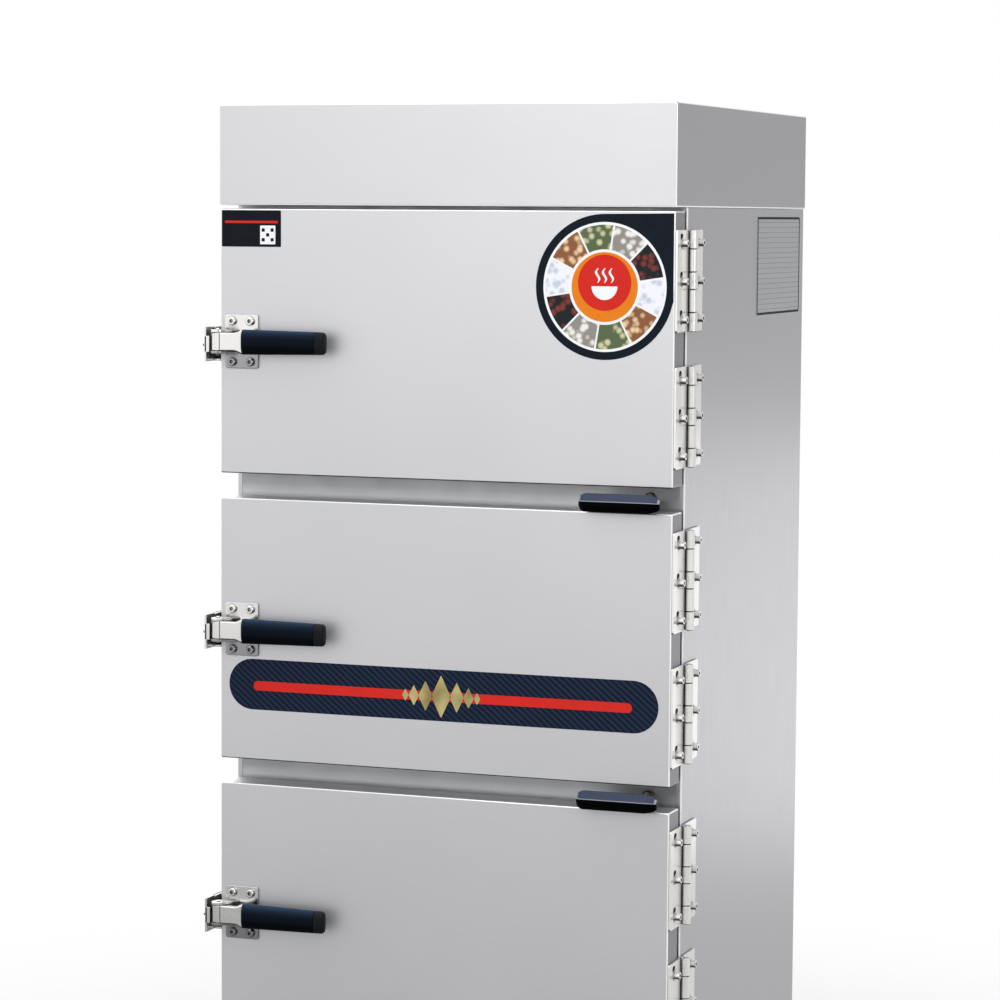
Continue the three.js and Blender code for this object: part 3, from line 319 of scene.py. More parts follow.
tree, place = new_finish("frame_steel", "stainless with mill finish")
cloud = add(tree, "TexNoise", Vector=place["Object"], Scale=22.0, Detail=4.0)
split = add(tree, "SeparateXYZ", Vector=place["Object"])
rise = add(tree, "Math", operation="SUBTRACT", _0=split.outputs["Z"], _1=FIRST_DOOR)
pitches = add(tree, "Math", operation="DIVIDE", _0=rise, _1=DOOR_PITCH)
part = add(tree, "Math", operation="FRACT", _0=pitches)
# The band at the top of each gap is a painted shadow of the door above.
clear = add(tree, "MapRange", Value=part, From_Min=PAINTED_SHADOW_BAND[0], From_Max=PAINTED_SHADOW_BAND[1], To_Min=1.0,
            To_Max=0.0)
# Corners and seams in the band darken by how enclosed they are: painted shade.
crease = add(tree, "AmbientOcclusion", samples=AO_SAMPLES, Distance=0.055).outputs["AO"]
painted_crease_shade = add(tree, "MapRange", Value=crease, From_Min=0.05, From_Max=0.45, To_Min=0.6)
corner = add(tree, "AmbientOcclusion", samples=AO_SAMPLES, Distance=0.014).outputs["AO"]
seam = add(tree, "MapRange", Value=corner, From_Min=0.6, From_Max=0.74)
tone = add(tree, "Mix", data_type="RGBA", Factor=cloud, A="#CBCCCE", B="#D9DADC")
unshaded = add(tree, "Math", operation="MAXIMUM", _0=painted_crease_shade, _1=clear)
tone = add(tree, "Mix", data_type="RGBA", Factor=unshaded, A="#3A3B3E", B=tone)
# The grey of the band is the painted shadow.
tone = add(tree, "Mix", data_type="RGBA", Factor=clear, A="#B3B4B6", B=tone)
no_seam_shade = add(tree, "Math", operation="MAXIMUM", _0=seam, _1=clear)
tone = add(tree, "Mix", data_type="RGBA", Factor=no_seam_shade, A="#4A4B4E", B=tone)
rough = add(tree, "MapRange", Value=cloud, **NOISE_SPAN, To_Min=0.38, To_Max=0.5)
skin = add(tree, "BsdfPrincipled", Metallic=1.0, Base_Color=tone, Roughness=rough)
add(tree, "OutputMaterial", Surface=skin)
print("finish:", FINISH["frame_steel"].name)

# %% [markdown]
# ## Chamber steel
# The liners, the inner pans and the water vessel are thinner sheet with a bright rolled finish
# (2B). It is smoother than a brushed one, and clouded by steam and water spots.

# %% Rolled steel
tree, place = new_finish("liner_steel", "stainless rolled bright")
cloud = add(tree, "TexNoise", Vector=place["Object"], Scale=9.0, Detail=5.0, Distortion=0.4)
spots = add(tree, "TexVoronoi", Vector=place["Object"], Scale=60.0, Randomness=1.0)
rims = add(tree, "MapRange", Value=spots.outputs["Distance"], From_Min=0.1, From_Max=0.35,
           To_Min=0.03, To_Max=0.0)
base = add(tree, "MapRange", Value=cloud, **NOISE_SPAN, To_Min=0.25, To_Max=0.3)
rough = add(tree, "Math", operation="ADD", _0=base, _1=rims)
tone = add(tree, "Mix", data_type="RGBA", Factor=cloud, A="#C2C4C5", B="#D2D3D4")
skin = add(tree, "BsdfPrincipled", Metallic=1.0, Base_Color=tone, Roughness=rough)
add(tree, "OutputMaterial", Surface=skin)
print("finish:", FINISH["liner_steel"].name)

# %% [markdown]
# ## Polished hardware
# Hinges, latches, keepers and bolts are investment-cast or cut from bar and tumbled bright. They
# keep shallow hand-polishing marks. Their seams and hollows get a dark painted shade by how
# enclosed each point is, their undersides a painted shade, and the latch plates a painted shade
# that takes over towards the foot. The hinges are castings, blasted with beads before they are
# polished, so part of what they show is plain white.

# %% Polished steel
def polished_steel(slot, name, metal, painted_lighting=None):
    """Bright tumbled steel. A colour of painted shade, if any, takes over towards the foot of the
    piece.
    """
    tree, place = new_finish(slot, name)
    marks = add(tree, "TexNoise", Vector=place["Object"], Scale=260.0, Detail=3.0, Distortion=1.2)
    tone = add(tree, "Mix", data_type="RGBA", Factor=marks, A="#EDECE9", B="#F8F7F5")
    # The painted shade colour takes over towards the foot.
    if painted_lighting:
        height = add(tree, "SeparateXYZ", Vector=place["Generated"]).outputs["Z"]
        rise = add(tree, "MapRange", Value=height, From_Min=0.3, From_Max=0.55)
        tone = add(tree, "Mix", data_type="RGBA", Factor=rise, A=painted_lighting, B=tone)
    # Seams and hollows darken by how enclosed they are: painted shade.
    crease = add(tree, "AmbientOcclusion", samples=AO_SAMPLES, Distance=0.008).outputs["AO"]
    unshaded = add(tree, "MapRange", Value=crease, From_Min=0.3, From_Max=0.85)
    tone = add(tree, "Mix", data_type="RGBA", Factor=unshaded, A="#303033", B=tone)
    # Surfaces facing down darken: painted shade.
    upward = add(tree, "SeparateXYZ", Vector=place["Normal"]).outputs["Z"]
    painted_underside_mask = add(tree, "MapRange", Value=upward, From_Min=-0.05, From_Max=-0.45)
    tone = add(tree, "Mix", data_type="RGBA", Factor=painted_underside_mask, A=tone, B="#3A3A3D")
    rough = add(tree, "MapRange", Value=marks, **NOISE_SPAN, To_Min=0.13, To_Max=0.24)
    relief = add(tree, "Bump", Strength=0.08, Distance=0.0003, Height=marks)
    skin = add(tree, "BsdfPrincipled", Metallic=metal, Base_Color=tone, Roughness=rough,
               Normal=relief)
    add(tree, "OutputMaterial", Surface=skin)


polished_steel("polished_steel", "stainless tumbled and polished", 1.0)
# The latch plates' grey towards the foot is a painted shade.
polished_steel("latch_steel", "stainless polished, painted shade below", 1.0, "#A4A4A6")
polished_steel("hinge_steel", "stainless cast and bead blasted", 0.5)
print("finishes:", len(FINISH))

# %% [markdown]
# ## Blackened nut, racks, brass and gold foil
# The valves' nuts are steel blackened in hot oxide, which rubs off to brown. The racks are drawn
# rod and folded strip, welded and then electropolished, which leaves faint draw lines. The water
# inlet is turned brass with lathe rings and a little tarnish. The foil is gold vapour on film.

# %% Small metals
for slot, name, scale, detail, dark, pale, metal, rough in (
    ("black_steel", "steel blackened in hot oxide", 180.0, 3.0, "#2B2624", "#57504B", 0.85, 0.28),
    ("gold_foil", "gold foil", 38.0, 1.0, "#6E5F30", "#F2E3A0", 0.8, 0.3),
):
    tree, place = new_finish(slot, name)
    # On the gold foil the dark-to-pale patches are a painted reflection; on the blackened steel
    # they are its rubbed oxide.
    wear_and_sheen = add(tree, "TexNoise", Vector=place["Object"], Scale=scale, Detail=detail)
    tone = add(tree, "Mix", data_type="RGBA", Factor=wear_and_sheen, A=dark, B=pale)
    skin = add(tree, "BsdfPrincipled", Metallic=metal, Roughness=rough, Base_Color=tone)
    add(tree, "OutputMaterial", Surface=skin)

for slot, name, dark, pale, smooth, rough, scale in (
    ("rack_chrome", "stainless rod electropolished", "#CED0D2", "#DCDEE0", 0.1, 0.2,
     (500, 30, 500)),
    ("brass", "brass turned on a lathe", "#A5823E", "#D0B06A", 0.2, 0.36, (60, 1400, 60)),
):
    tree, place = new_finish(slot, name)
    stretch = add(tree, "Mapping", Vector=place["Object"], Scale=scale)
    lines = add(tree, "TexNoise", Vector=stretch, Scale=1.0, Detail=2.0)
    tone = add(tree, "Mix", data_type="RGBA", Factor=lines, A=dark, B=pale)
    gloss = add(tree, "MapRange", Value=lines, **NOISE_SPAN, To_Min=smooth, To_Max=rough)
    skin = add(tree, "BsdfPrincipled", Metallic=1.0, Base_Color=tone, Roughness=gloss)
    add(tree, "OutputMaterial", Surface=skin)
print("finishes:", len(FINISH))

# %% [markdown]
# ## Mouldings and rubber
# The latch grips are nylon with a fine spark-eroded texture, nearly black with a blue cast, and
# their end caps are a charcoal shot of the same. The valve grips are phenolic, pressed in a
# polished mould, so they are glossy, and the edge between their upper and front facets gets a pale
# painted highlight. The foot pads are matt nylon, and the door seals are extruded silicone with
# dust in the skin. On all of them, what faces up gets a painted highlight: each finish mixes in a
# third, paler colour by how far its surface looks upwards.

# %% Mouldings and rubber
def moulding(slot, name, tones, roughness, film, specular, scale, strength, painted_arris_highlight=None):
    tree, place = new_finish(slot, name)
    pits = add(tree, "TexNoise", Vector=place["Object"], Scale=scale, Detail=3.0)
    wear_and_sheen = add(tree, "TexNoise", Vector=place["Object"], Scale=14.0, Detail=4.0)
    tone = add(tree, "Mix", data_type="RGBA", Factor=wear_and_sheen, A=tones[0], B=tones[1])
    # Surfaces facing up take the third, paler colour: a painted highlight.
    upward = add(tree, "SeparateXYZ", Vector=place["Normal"]).outputs["Z"]
    painted_top_light = add(tree, "MapRange", Value=upward, From_Min=film[0], From_Max=film[1])
    tone = add(tree, "Mix", data_type="RGBA", Factor=painted_top_light, A=tone, B=tones[2])
    # A pale band where the normal turns between facets: a painted highlight on the edge.
    if painted_arris_highlight:
        rising = add(tree, "MapRange", Value=upward, From_Min=0.08, From_Max=0.22)
        falling = add(tree, "MapRange", Value=upward, From_Min=0.52, From_Max=0.42)
        painted_lighting = add(tree, "Math", operation="MINIMUM", _0=rising, _1=falling)
        tone = add(tree, "Mix", data_type="RGBA", Factor=painted_lighting, A=tone, B=painted_arris_highlight)
    rough = add(tree, "MapRange", Value=wear_and_sheen, From_Min=0.35, From_Max=0.65, To_Min=roughness[0],
                To_Max=roughness[1])
    relief = add(tree, "Bump", Strength=strength, Distance=0.0002, Height=pits)
    skin = add(tree, "BsdfPrincipled", Specular_IOR_Level=specular, Base_Color=tone,
               Roughness=rough, Normal=relief)
    add(tree, "OutputMaterial", Surface=skin)


# The third colour of each moulding, and the lever's pale edge colour, are painted highlights.
moulding("grip_plastic", "nylon with eroded texture", ("#010306", "#04080F", "#2B3D55"),
         (0.34, 0.46), (-0.08, 0.9), 0.04, 900, 0.2)
moulding("cap_plastic", "charcoal nylon with eroded texture", ("#0F1216", "#161A1F", "#272B30"),
         (0.36, 0.5), (-0.1, 0.9), 0.07, 900, 0.2)
moulding("lever_plastic", "phenolic from a polished mould", ("#010102", "#020304", "#434A5C"),
         (0.16, 0.22), (0.3, 0.56), 0.03, 120, 0.02, painted_arris_highlight="#9DA1AF")
moulding("foot_plastic", "matt nylon", ("#1A1B1D", "#26272A", "#2E2F32"), (0.48, 0.62),
         (0.2, 0.9), 0.22, 600, 0.15)
moulding("gasket_rubber", "extruded silicone", ("#242527", "#343538", "#3A3B3E"), (0.55, 0.7),
         (0.2, 0.9), 0.22, 240, 0.1)
print("finishes:", len(FINISH))

# %% [markdown]
# ## Mineral wool
# The wool between the liners and the sheets is spun from melted rock and bound into slabs. It is
# matt, fibrous and straw coloured, with fibres lying along the slab.

# %% Mineral wool
tree, place = new_finish("mineral_wool", "mineral wool slab")
stretch = add(tree, "Mapping", Vector=place["Object"], Scale=(60, 60, 420))
fibre = add(tree, "TexNoise", Vector=stretch, Scale=1.0, Detail=6.0, Roughness=0.7, Distortion=2.0)
tone = add(tree, "Mix", data_type="RGBA", Factor=fibre, A="#A79560", B="#DDD0A4")
relief = add(tree, "Bump", Strength=0.7, Distance=0.002, Height=fibre)
skin = add(tree, "BsdfPrincipled", Roughness=0.95, Base_Color=tone, Normal=relief)
add(tree, "OutputMaterial", Surface=skin)
print("finish:", FINISH["mineral_wool"].name)

# %% [markdown]
# ## Vinyl and the data plate
# The badge and the strip on the doors are cut and printed vinyl under a clear laminate. The navy
# of the strip has a fine diagonal weave. The data plate is brushed aluminium with ruled rows.

# %% Vinyl
def mottle(tree, place):
    """A faint unevenness of the ink."""
    return add(tree, "TexNoise", Vector=place, Scale=45.0, Detail=3.0)


def weave(tree, place):
    """Slanting threads, one about every 9 mm along the strip."""
    slant = add(tree, "Mapping", Vector=place, Rotation=(0, math.radians(50), 0))
    wave = add(tree, "TexWave", Vector=slant, bands_direction="X", Scale=46.0, Distortion=0.6,
               Detail=1.0)
    return wave.outputs["Fac"]


def pebbles(tree, place):
    """Rounded grains in two colours, some millimetres across."""
    grains = add(tree, "TexVoronoi", Vector=place, Scale=95.0, Randomness=1.0)
    return add(tree, "MapRange", Value=grains.outputs["Distance"], From_Min=0.25, From_Max=0.55)


for slot, name, first, second, pattern in (
    ("navy", "navy vinyl", "#0C131C", "#141D28", mottle),
    ("weave", "navy vinyl with weave", "#0C1322", "#212D45", weave),
    ("white", "white vinyl", "#F2F3F5", "#E9EAED", mottle),
    ("red", "red vinyl", "#D52E26", "#C4271F", mottle),
    ("orange", "orange vinyl", "#E58420", "#DA761A", mottle),
    ("charcoal", "charcoal vinyl", "#0F1017", "#181A24", mottle),
    ("cream", "printed vinyl, cream", "#E8E4DE", "#8E8A86", pebbles),
    ("brick", "printed vinyl, brick", "#7A3A34", "#20262A", pebbles),
    ("olive", "printed vinyl, olive", "#C9C7A0", "#59684A", pebbles),
    ("mist", "printed vinyl, mist", "#C5CAD9", "#E9ECF4", pebbles),
    ("sand", "printed vinyl, sand", "#E5C9A0", "#8A5A3E", pebbles),
):
    tree, place = new_finish(slot, name)
    share = pattern(tree, place["Object"])
    ink = add(tree, "Mix", data_type="RGBA", Factor=share, A=first, B=second)
    waves = add(tree, "TexNoise", Vector=place["Object"], Scale=30.0, Detail=2.0)
    relief = add(tree, "Bump", Strength=0.03, Distance=0.001, Height=waves)
    skin = add(tree, "BsdfPrincipled", Roughness=0.42, IOR=1.46, Specular_IOR_Level=0.09,
               Base_Color=ink, Normal=relief)
    add(tree, "OutputMaterial", Surface=skin)
print("finishes:", len(FINISH))

# %% Data plate
ROWS_PER_METRE = 130.0
ROW_LINE = 0.14

tree, place = new_finish("data_plate", "aluminium plate with ruled rows")
split = add(tree, "SeparateXYZ", Vector=place["Object"])
rows = add(tree, "Math", operation="MULTIPLY", _0=split.outputs["Z"], _1=ROWS_PER_METRE)
part = add(tree, "Math", operation="FRACT", _0=rows)
line = add(tree, "Math", operation="LESS_THAN", _0=part, _1=ROW_LINE)
tone = add(tree, "Mix", data_type="RGBA", Factor=line, A="#D3D5D6", B="#AFB2B5")
stretch = add(tree, "Mapping", Vector=place["Object"], Scale=(900, 20, 900))
grain = add(tree, "TexNoise", Vector=stretch, Scale=1.0, Detail=2.0)
rough = add(tree, "MapRange", Value=grain, To_Min=0.3, To_Max=0.45)
skin = add(tree, "BsdfPrincipled", Metallic=1.0, Base_Color=tone, Roughness=rough)
add(tree, "OutputMaterial", Surface=skin)

for entry in frame["record"]["subparts"]:
    node = frame["nodes"][entry["node"]]
    node.data.materials.clear()
    node.data.materials.append(FINISH[entry["material_slot"]])

# %% [markdown]
# ## Shapes in millimetres
# The real cabinet is cut, folded and turned from sheet, bar and rod, and the helpers below
# follow that. A plate is a flat outline with holes. A folded sheet is a line with round bends.
# A turned part is a profile spun round an axis. A lofted part runs through a row of sections.
# All of them measure from the middle of the doors' front, and one function sets them in place.

# %% Places
LEVELS = ("lower", "middle", "upper")
door_low, door_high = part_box("middle_door_skin")
ORIGIN = Vector(((door_low.x + door_high.x) / 2, door_low.y, 0))


def box_mm(node):
    low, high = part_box(node)
    return (low - ORIGIN) / MM, (high - ORIGIN) / MM


DOOR_BOX = {level: box_mm(f"{level}_door_skin") for level in LEVELS}
MIDDLE = {level: (low.z + high.z) / 2 for level, (low, high) in DOOR_BOX.items()}
HALF_WIDTH, DOOR_DEPTH = DOOR_BOX["upper"][1].x, DOOR_BOX["upper"][1].y
HALF_HEIGHT = (DOOR_BOX["upper"][1].z - DOOR_BOX["upper"][0].z) / 2
FRAME_SHEET = 2
BODY_FRONT = box_mm("front_frame")[1].y - FRAME_SHEET
BODY_BACK = box_mm("left_side_panel")[1].y
print("door half size:", round(HALF_WIDTH, 1), "by", round(HALF_HEIGHT, 1), "mm")

# %% Placing a piece
FACING_FRONT = Matrix(((1, 0, 0, 0), (0, 0, -1, 0), (0, 1, 0, 0), (0, 0, 0, 1)))
FACING_RIGHT = Matrix(((0, 0, 1, 0), (1, 0, 0, 0), (0, 1, 0, 0), (0, 0, 0, 1)))
FACING_UP = Matrix.Identity(4)
FACING_IN = Matrix(((1, 0, 0, 0), (0, 0, 1, 0), (0, 1, 0, 0), (0, 0, 0, 1)))
SHARP_ANGLE = 32
PIECES = []


def moved(shape, x=0, y=0, z=0, facing=FACING_UP):
    bmesh.ops.transform(shape, matrix=Matrix.Translation((x, y, z)) @ facing, verts=shape.verts)
    return shape


def joined(shapes):
    whole = bmesh.new()
    for shape in shapes:
        holder = bpy.data.meshes.new("holder")
        shape.to_mesh(holder)
        shape.free()
        whole.from_mesh(holder)
        bpy.data.meshes.remove(holder)
    return whole


def add_piece(name, shape, finish, body="cabinet", replaces=(), sharp=SHARP_ANGLE):
    shrink = Matrix.Translation(ORIGIN) @ Matrix.Scale(MM, 4)
    bmesh.ops.transform(shape, matrix=shrink, verts=shape.verts)
    bmesh.ops.recalc_face_normals(shape, faces=shape.faces)
    mesh = bpy.data.meshes.new(name)
    shape.to_mesh(mesh)
    shape.free()
    mesh.shade_smooth()
    mesh.set_sharp_from_angle(angle=math.radians(sharp))
    mesh.materials.append(FINISH[finish])
    piece = bpy.data.objects.new(name, mesh)
    bpy.context.scene.collection.objects.link(piece)
    weighted = piece.modifiers.new("flat faces stay flat", "WEIGHTED_NORMAL")
    weighted.keep_sharp = True
    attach(piece, body)
    if replaces:
        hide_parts(*replaces)
    PIECES.append(name)


def on_each_level(name, make, finish, body, node, x=0, drop=0):
    """The same piece on all levels. Its node, and its body unless it stays put, go by level."""
    for level in LEVELS:
        add_piece(f"{level}_{name}", moved(make(), x, 0, MIDDLE[level] - drop), finish,
                  body if body == "cabinet" else f"{level}_{body}", [f"{level}_{node}"])
    print(f"{name}:", len(LEVELS))


# %% Outlines
CORNER_STEPS = 5


def arc(centre, radius, start, end, steps):
    turn = (end - start) / steps
    angles = [math.radians(start + turn * i) for i in range(steps + 1)]
    return [(centre[0] + radius * math.cos(a), centre[1] + radius * math.sin(a)) for a in angles]


def circle(centre, radius, sides):
    return arc(centre, radius, 0, 360 - 360 / sides, sides - 1)


def rounded_rect(half_u, half_v, corner, steps=CORNER_STEPS):
    u, v = half_u - corner, half_v - corner
    return (arc((u, v), corner, 0, 90, steps) + arc((-u, v), corner, 90, 180, steps)
            + arc((-u, -v), corner, 180, 270, steps) + arc((u, -v), corner, 270, 360, steps))


def shifted(outline, u, v):
    return [(a + u, b + v) for a, b in outline]


def framed(u, v, corner, steps=CORNER_STEPS):
    """A rounded rectangle between two values each way."""
    outline = rounded_rect((u[1] - u[0]) / 2, (v[1] - v[0]) / 2, corner, steps)
    return shifted(outline, (u[0] + u[1]) / 2, (v[0] + v[1]) / 2)


def softened(points, radius, steps):
    """The outline with each corner cut back and rounded by that radius."""
    outline = []
    for i, point in enumerate(points):
        here = Vector(point)
        before = (Vector(points[i - 1]) - here).normalized()
        after = (Vector(points[(i + 1) % len(points)]) - here).normalized()
        reach = radius / math.tan(before.angle(after) / 2)
        start, end = here + before * reach, here + after * reach
        for k in range(steps + 1):
            t = k / steps
            outline.append(tuple(start * (1 - t) ** 2 + here * 2 * t * (1 - t) + end * t * t))
    return outline


# %% Plates
WELD_REACH = 0.002


def plate(outlines, thickness, edge=0.3):
    """A flat plate about its mid plane: the first outline is its rim and the others are holes."""
    curve = bpy.data.curves.new("outline", "CURVE")
    curve.dimensions = "2D"
    curve.fill_mode = "BOTH"
    curve.extrude = thickness / 2 - edge
    curve.bevel_depth = edge
    curve.bevel_resolution = 1
    curve.offset = -edge
    for outline in outlines:
        spline = curve.splines.new("POLY")
        spline.points.add(len(outline) - 1)
        for point, (u, v) in zip(spline.points, outline):
            point.co = (u, v, 0, 1)
        spline.use_cyclic_u = True
    holder = bpy.data.objects.new("outline", curve)
    bpy.context.scene.collection.objects.link(holder)
    seen_by = bpy.context.evaluated_depsgraph_get()
    mesh = bpy.data.meshes.new_from_object(holder.evaluated_get(seen_by))
    shape = bmesh.new()
    shape.from_mesh(mesh)
    bmesh.ops.remove_doubles(shape, verts=shape.verts, dist=WELD_REACH)
    bpy.data.objects.remove(holder)
    bpy.data.curves.remove(curve)
    bpy.data.meshes.remove(mesh)
    return shape


def folded(path, radius, thickness, z):
    """A sheet on the left of a path with square corners, bent round each, between two heights."""
    points = [Vector(p) for p in path]
    near, far = [], []
    for i, point in enumerate(points):
        ahead = (points[min(i + 1, len(points) - 1)] - points[min(i, len(points) - 2)]).normalized()
        if i in (0, len(points) - 1):
            near.append(point)
            far.append(point + Vector((-ahead.y, ahead.x)) * thickness)
            continue
        behind = (point - points[i - 1]).normalized()
        left = Vector((-behind.y, behind.x))
        turn = 1 if ahead.dot(left) > 0 else -1
        near_radius = radius if turn > 0 else radius - thickness
        far_radius = near_radius - turn * thickness
        centre = point + (left * turn - behind) * near_radius
        start = math.degrees(math.atan2(-turn * left.y, -turn * left.x))
        for line, r in ((near, near_radius), (far, far_radius)):
            line.extend(Vector(p) for p in arc(centre, r, start, start + 90 * turn, CORNER_STEPS))
    outline = [tuple(p) for p in near + far[::-1]]
    return moved(plate([outline], z[1] - z[0], edge=0.2), z=(z[0] + z[1]) / 2)


# %% Turned and lofted parts
TURNS = {"Z": (0, "Z"), "X": (90, "Y"), "-X": (-90, "Y"), "Y": (-90, "X"), "-Y": (90, "X")}
AXES = {name: Matrix.Rotation(math.radians(turn), 4, axis) for name, (turn, axis) in TURNS.items()}


def lofted(sections, closed=False):
    """A skin through sections of as many points each, or of just one at a tip. It has flat ends
    unless it closes on itself."""
    shape = bmesh.new()
    rings = [[shape.verts.new(p) for p in section] for section in sections]
    sides = max(map(len, rings))
    for near, far in zip(rings, rings[1:] + rings[:1] if closed else rings[1:]):
        for i in range(sides):
            j = (i + 1) % sides
            quad = (near[i % len(near)], near[j % len(near)], far[j % len(far)], far[i % len(far)])
            shape.faces.new(list(dict.fromkeys(quad)))
    for ring in () if closed else (rings[0], rings[-1]):
        if len(ring) > 1:
            shape.faces.new(ring)
    return shape


def turned(profile, axis="Z", sides=32, closed=False):
    """A profile of (radius, height) rows spun round an axis. A third word, hex, gives a hexagon."""
    rings = []
    for radius, height, *form in profile:
        ring = []
        for i in range(sides if radius else 1):
            angle = 2 * math.pi * i / sides
            reach = radius
            if form:
                off = math.fmod(angle, math.pi / 3) - math.pi / 6
                reach = radius * math.cos(math.pi / 6) / math.cos(off)
            ring.append((reach * math.cos(angle), reach * math.sin(angle), height))
        rings.append(ring)
    return moved(lofted(rings, closed), facing=AXES[axis])


def pressed(rows, closed=False):
    """A tray or a ring, open to the front, of rows of (half width, half height, depth, corner)."""
    sections = [[(u, v, depth) for u, v in rounded_rect(half_u, half_v, corner)]
                for half_u, half_v, depth, corner in rows]
    return lofted(sections, closed)


def block(x, y, z, edge, steps=2):
    shape = bmesh.new()
    size = Vector((x[1] - x[0], y[1] - y[0], z[1] - z[0]))
    middle = Matrix.Translation(Vector((x[0] + x[1], y[0] + y[1], z[0] + z[1])) / 2)
    bmesh.ops.create_cube(shape, size=1, matrix=middle @ Matrix.Diagonal((*size, 1)))
    bmesh.ops.bevel(shape, geom=shape.edges[:], offset=edge, segments=steps, profile=0.5,
                    affect="EDGES", clamp_overlap=True)
    return shape


# %% Screws and nuts
def socket_bolt(radius, height, axis, sides=24):
    """A cap screw: a round head with a chamfered rim and a hexagon socket."""
    rim, hexagon = radius * 0.12, radius * 0.55
    return turned([(radius, 0), (radius, height - rim), (radius - rim, height),
                   (hexagon, height, "hex"), (hexagon, height * 0.45, "hex"),
                   (0, height * 0.4)], axis, sides)


def dome_nut(radius, height):
    """A hexagon nut closed by a dome."""
    flat = height * 0.35
    dome = [(radius * 0.86 * math.cos(a), flat + (height - flat) * math.sin(a))
            for a in (math.pi * k / 14 for k in range(7))]
    return turned([(radius * 0.93, 0, "hex"), (radius, height * 0.05, "hex"),
                   (radius, flat - height * 0.05, "hex"), *dome, (0, height)], "Z", 24)


def pan_screw():
    """A low round head with a hexagon socket."""
    return turned([(4, 0), (4, 0.84), (3.4, 1.92), (2.2, 2.4), (1.8, 2.4, "hex"),
                   (1.8, 0.96, "hex"), (0, 0.84)], "Y", 18)


print("helpers ready")

# %% [markdown]
# ## Doors
# A steaming cabinet's door is a shallow pan of brushed stainless sheet, with its four edges
# folded back and the corners welded and ground, so the edges are round by a couple of
# millimetres and catch a thin bright line. The inner pan has a dish pressed into it. Each is one
# skin here, lofted through rounded frames, since a plain box would lose those bright edges.

# %% Door skins
DOOR_SHEET = 1.5
DOOR_EDGE = 2.2
DOOR_CORNER = 2.6


def edge_rows(half_u, half_v, edge, corner):
    """The rounded edge of a pan, from its flat face to its side."""
    rows = []
    for i in range(CORNER_STEPS + 1):
        turn = math.pi / 2 * i / CORNER_STEPS
        inset = edge * (1 - math.sin(turn))
        rows.append((half_u - inset, half_v - inset, edge * (1 - math.cos(turn)), corner))
    return rows


def pan(half_u, half_v, depth, sheet=DOOR_SHEET, edge=DOOR_EDGE, corner=DOOR_CORNER):
    """A pan with its face in front, open behind."""
    inner = corner - sheet / 2
    inside = edge_rows(half_u - sheet, half_v - sheet, edge - sheet / 2, inner)
    rows = edge_rows(half_u, half_v, edge, corner) + [(half_u, half_v, depth, corner)]
    rows.append((half_u - sheet, half_v - sheet, depth, inner))
    rows += [(u, v, w + sheet, c) for u, v, w, c in inside[::-1]]
    return moved(pressed(rows), facing=FACING_IN)


on_each_level("skin", lambda: pan(HALF_WIDTH, HALF_HEIGHT, DOOR_DEPTH), "satin_door", "door",
              "door_skin")

# %% Inner pans
LINER_FRONT = 14
LINER_INSET = 1.8
DISH_HALF = (266, 146)
DISH_ROWS = ((5, 6, 22), (3.5, 5.4, 23), (1, 0.8, 26), (-1, 0, 27))
RIM_ROWS = ((2, 0), (0.9, 0.3), (0.3, 0.9), (0, 2), (0, DOOR_DEPTH - LINER_FRONT))
RIM_CORNER = 4


def inner_pan():
    outer = [(DISH_HALF[0] - inset, DISH_HALF[1] - inset, DOOR_DEPTH + rise, corner)
             for inset, rise, corner in DISH_ROWS]
    outer += [(HALF_WIDTH - LINER_INSET - inset, HALF_HEIGHT - LINER_INSET - inset,
               DOOR_DEPTH - drop, RIM_CORNER) for inset, drop in RIM_ROWS]
    inside = [(u - DOOR_SHEET, v - DOOR_SHEET, max(w - DOOR_SHEET, LINER_FRONT), max(c - 1, 1))
              for u, v, w, c in outer[::-1]]
    return moved(pressed(outer + inside), facing=FACING_IN)


on_each_level("inner_pan", inner_pan, "liner_steel", "door", "door_liner")

# %% [markdown]
# ## Door seals
# The seal is extruded silicone: a foot that presses into the door and a hollow bulb that the
# body's frame squeezes. Its section is swept round the mouth with wide corners, as a bent
# extrusion would run.

# %% Door seals
MOUTH_HALF_WIDTH = 290
MOUTH_HALF_HEIGHT = 170
SEAL_INSET = 2
SEAL_CORNER = 16
SEAL_SECTION = ((0, 44.3), (16, 44.3), (16, 47), (12.6, 48.6), (14.6, 50.8), (15.2, 53.4),
                (13.6, 56), (10.8, 57.5), (8, 57.7), (5.2, 57.5), (2.4, 56), (0.8, 53.4),
                (1.4, 50.8), (3.4, 48.6), (0, 47))


def seal():
    rows = [(MOUTH_HALF_WIDTH + SEAL_INSET + out, MOUTH_HALF_HEIGHT + SEAL_INSET + out, back,
             SEAL_CORNER + out) for out, back in SEAL_SECTION]
    return moved(pressed(rows, closed=True), facing=FACING_IN)


on_each_level("seal", seal, "gasket_rubber", "door", "door_gasket")

# %% [markdown]
# ## Steaming chambers and racks
# The liner is deep drawn or welded from thin stainless sheet with coved corners that can be
# wiped clean. Each rack is made of drawn rod, and its runners are folded strips that stand on
# their inner lip.

# %% Chambers
CHAMBER_FRONT = 60.3
CHAMBER_BACK = 610.3
LINER_SHEET = 1.2
COVE = 12
COVE_ROWS = ((0, COVE, COVE), (1.6, 6, COVE - 1.6), (6, 1.6, 7), (COVE, 0, 4))
STEAM_HOLE = 11.3


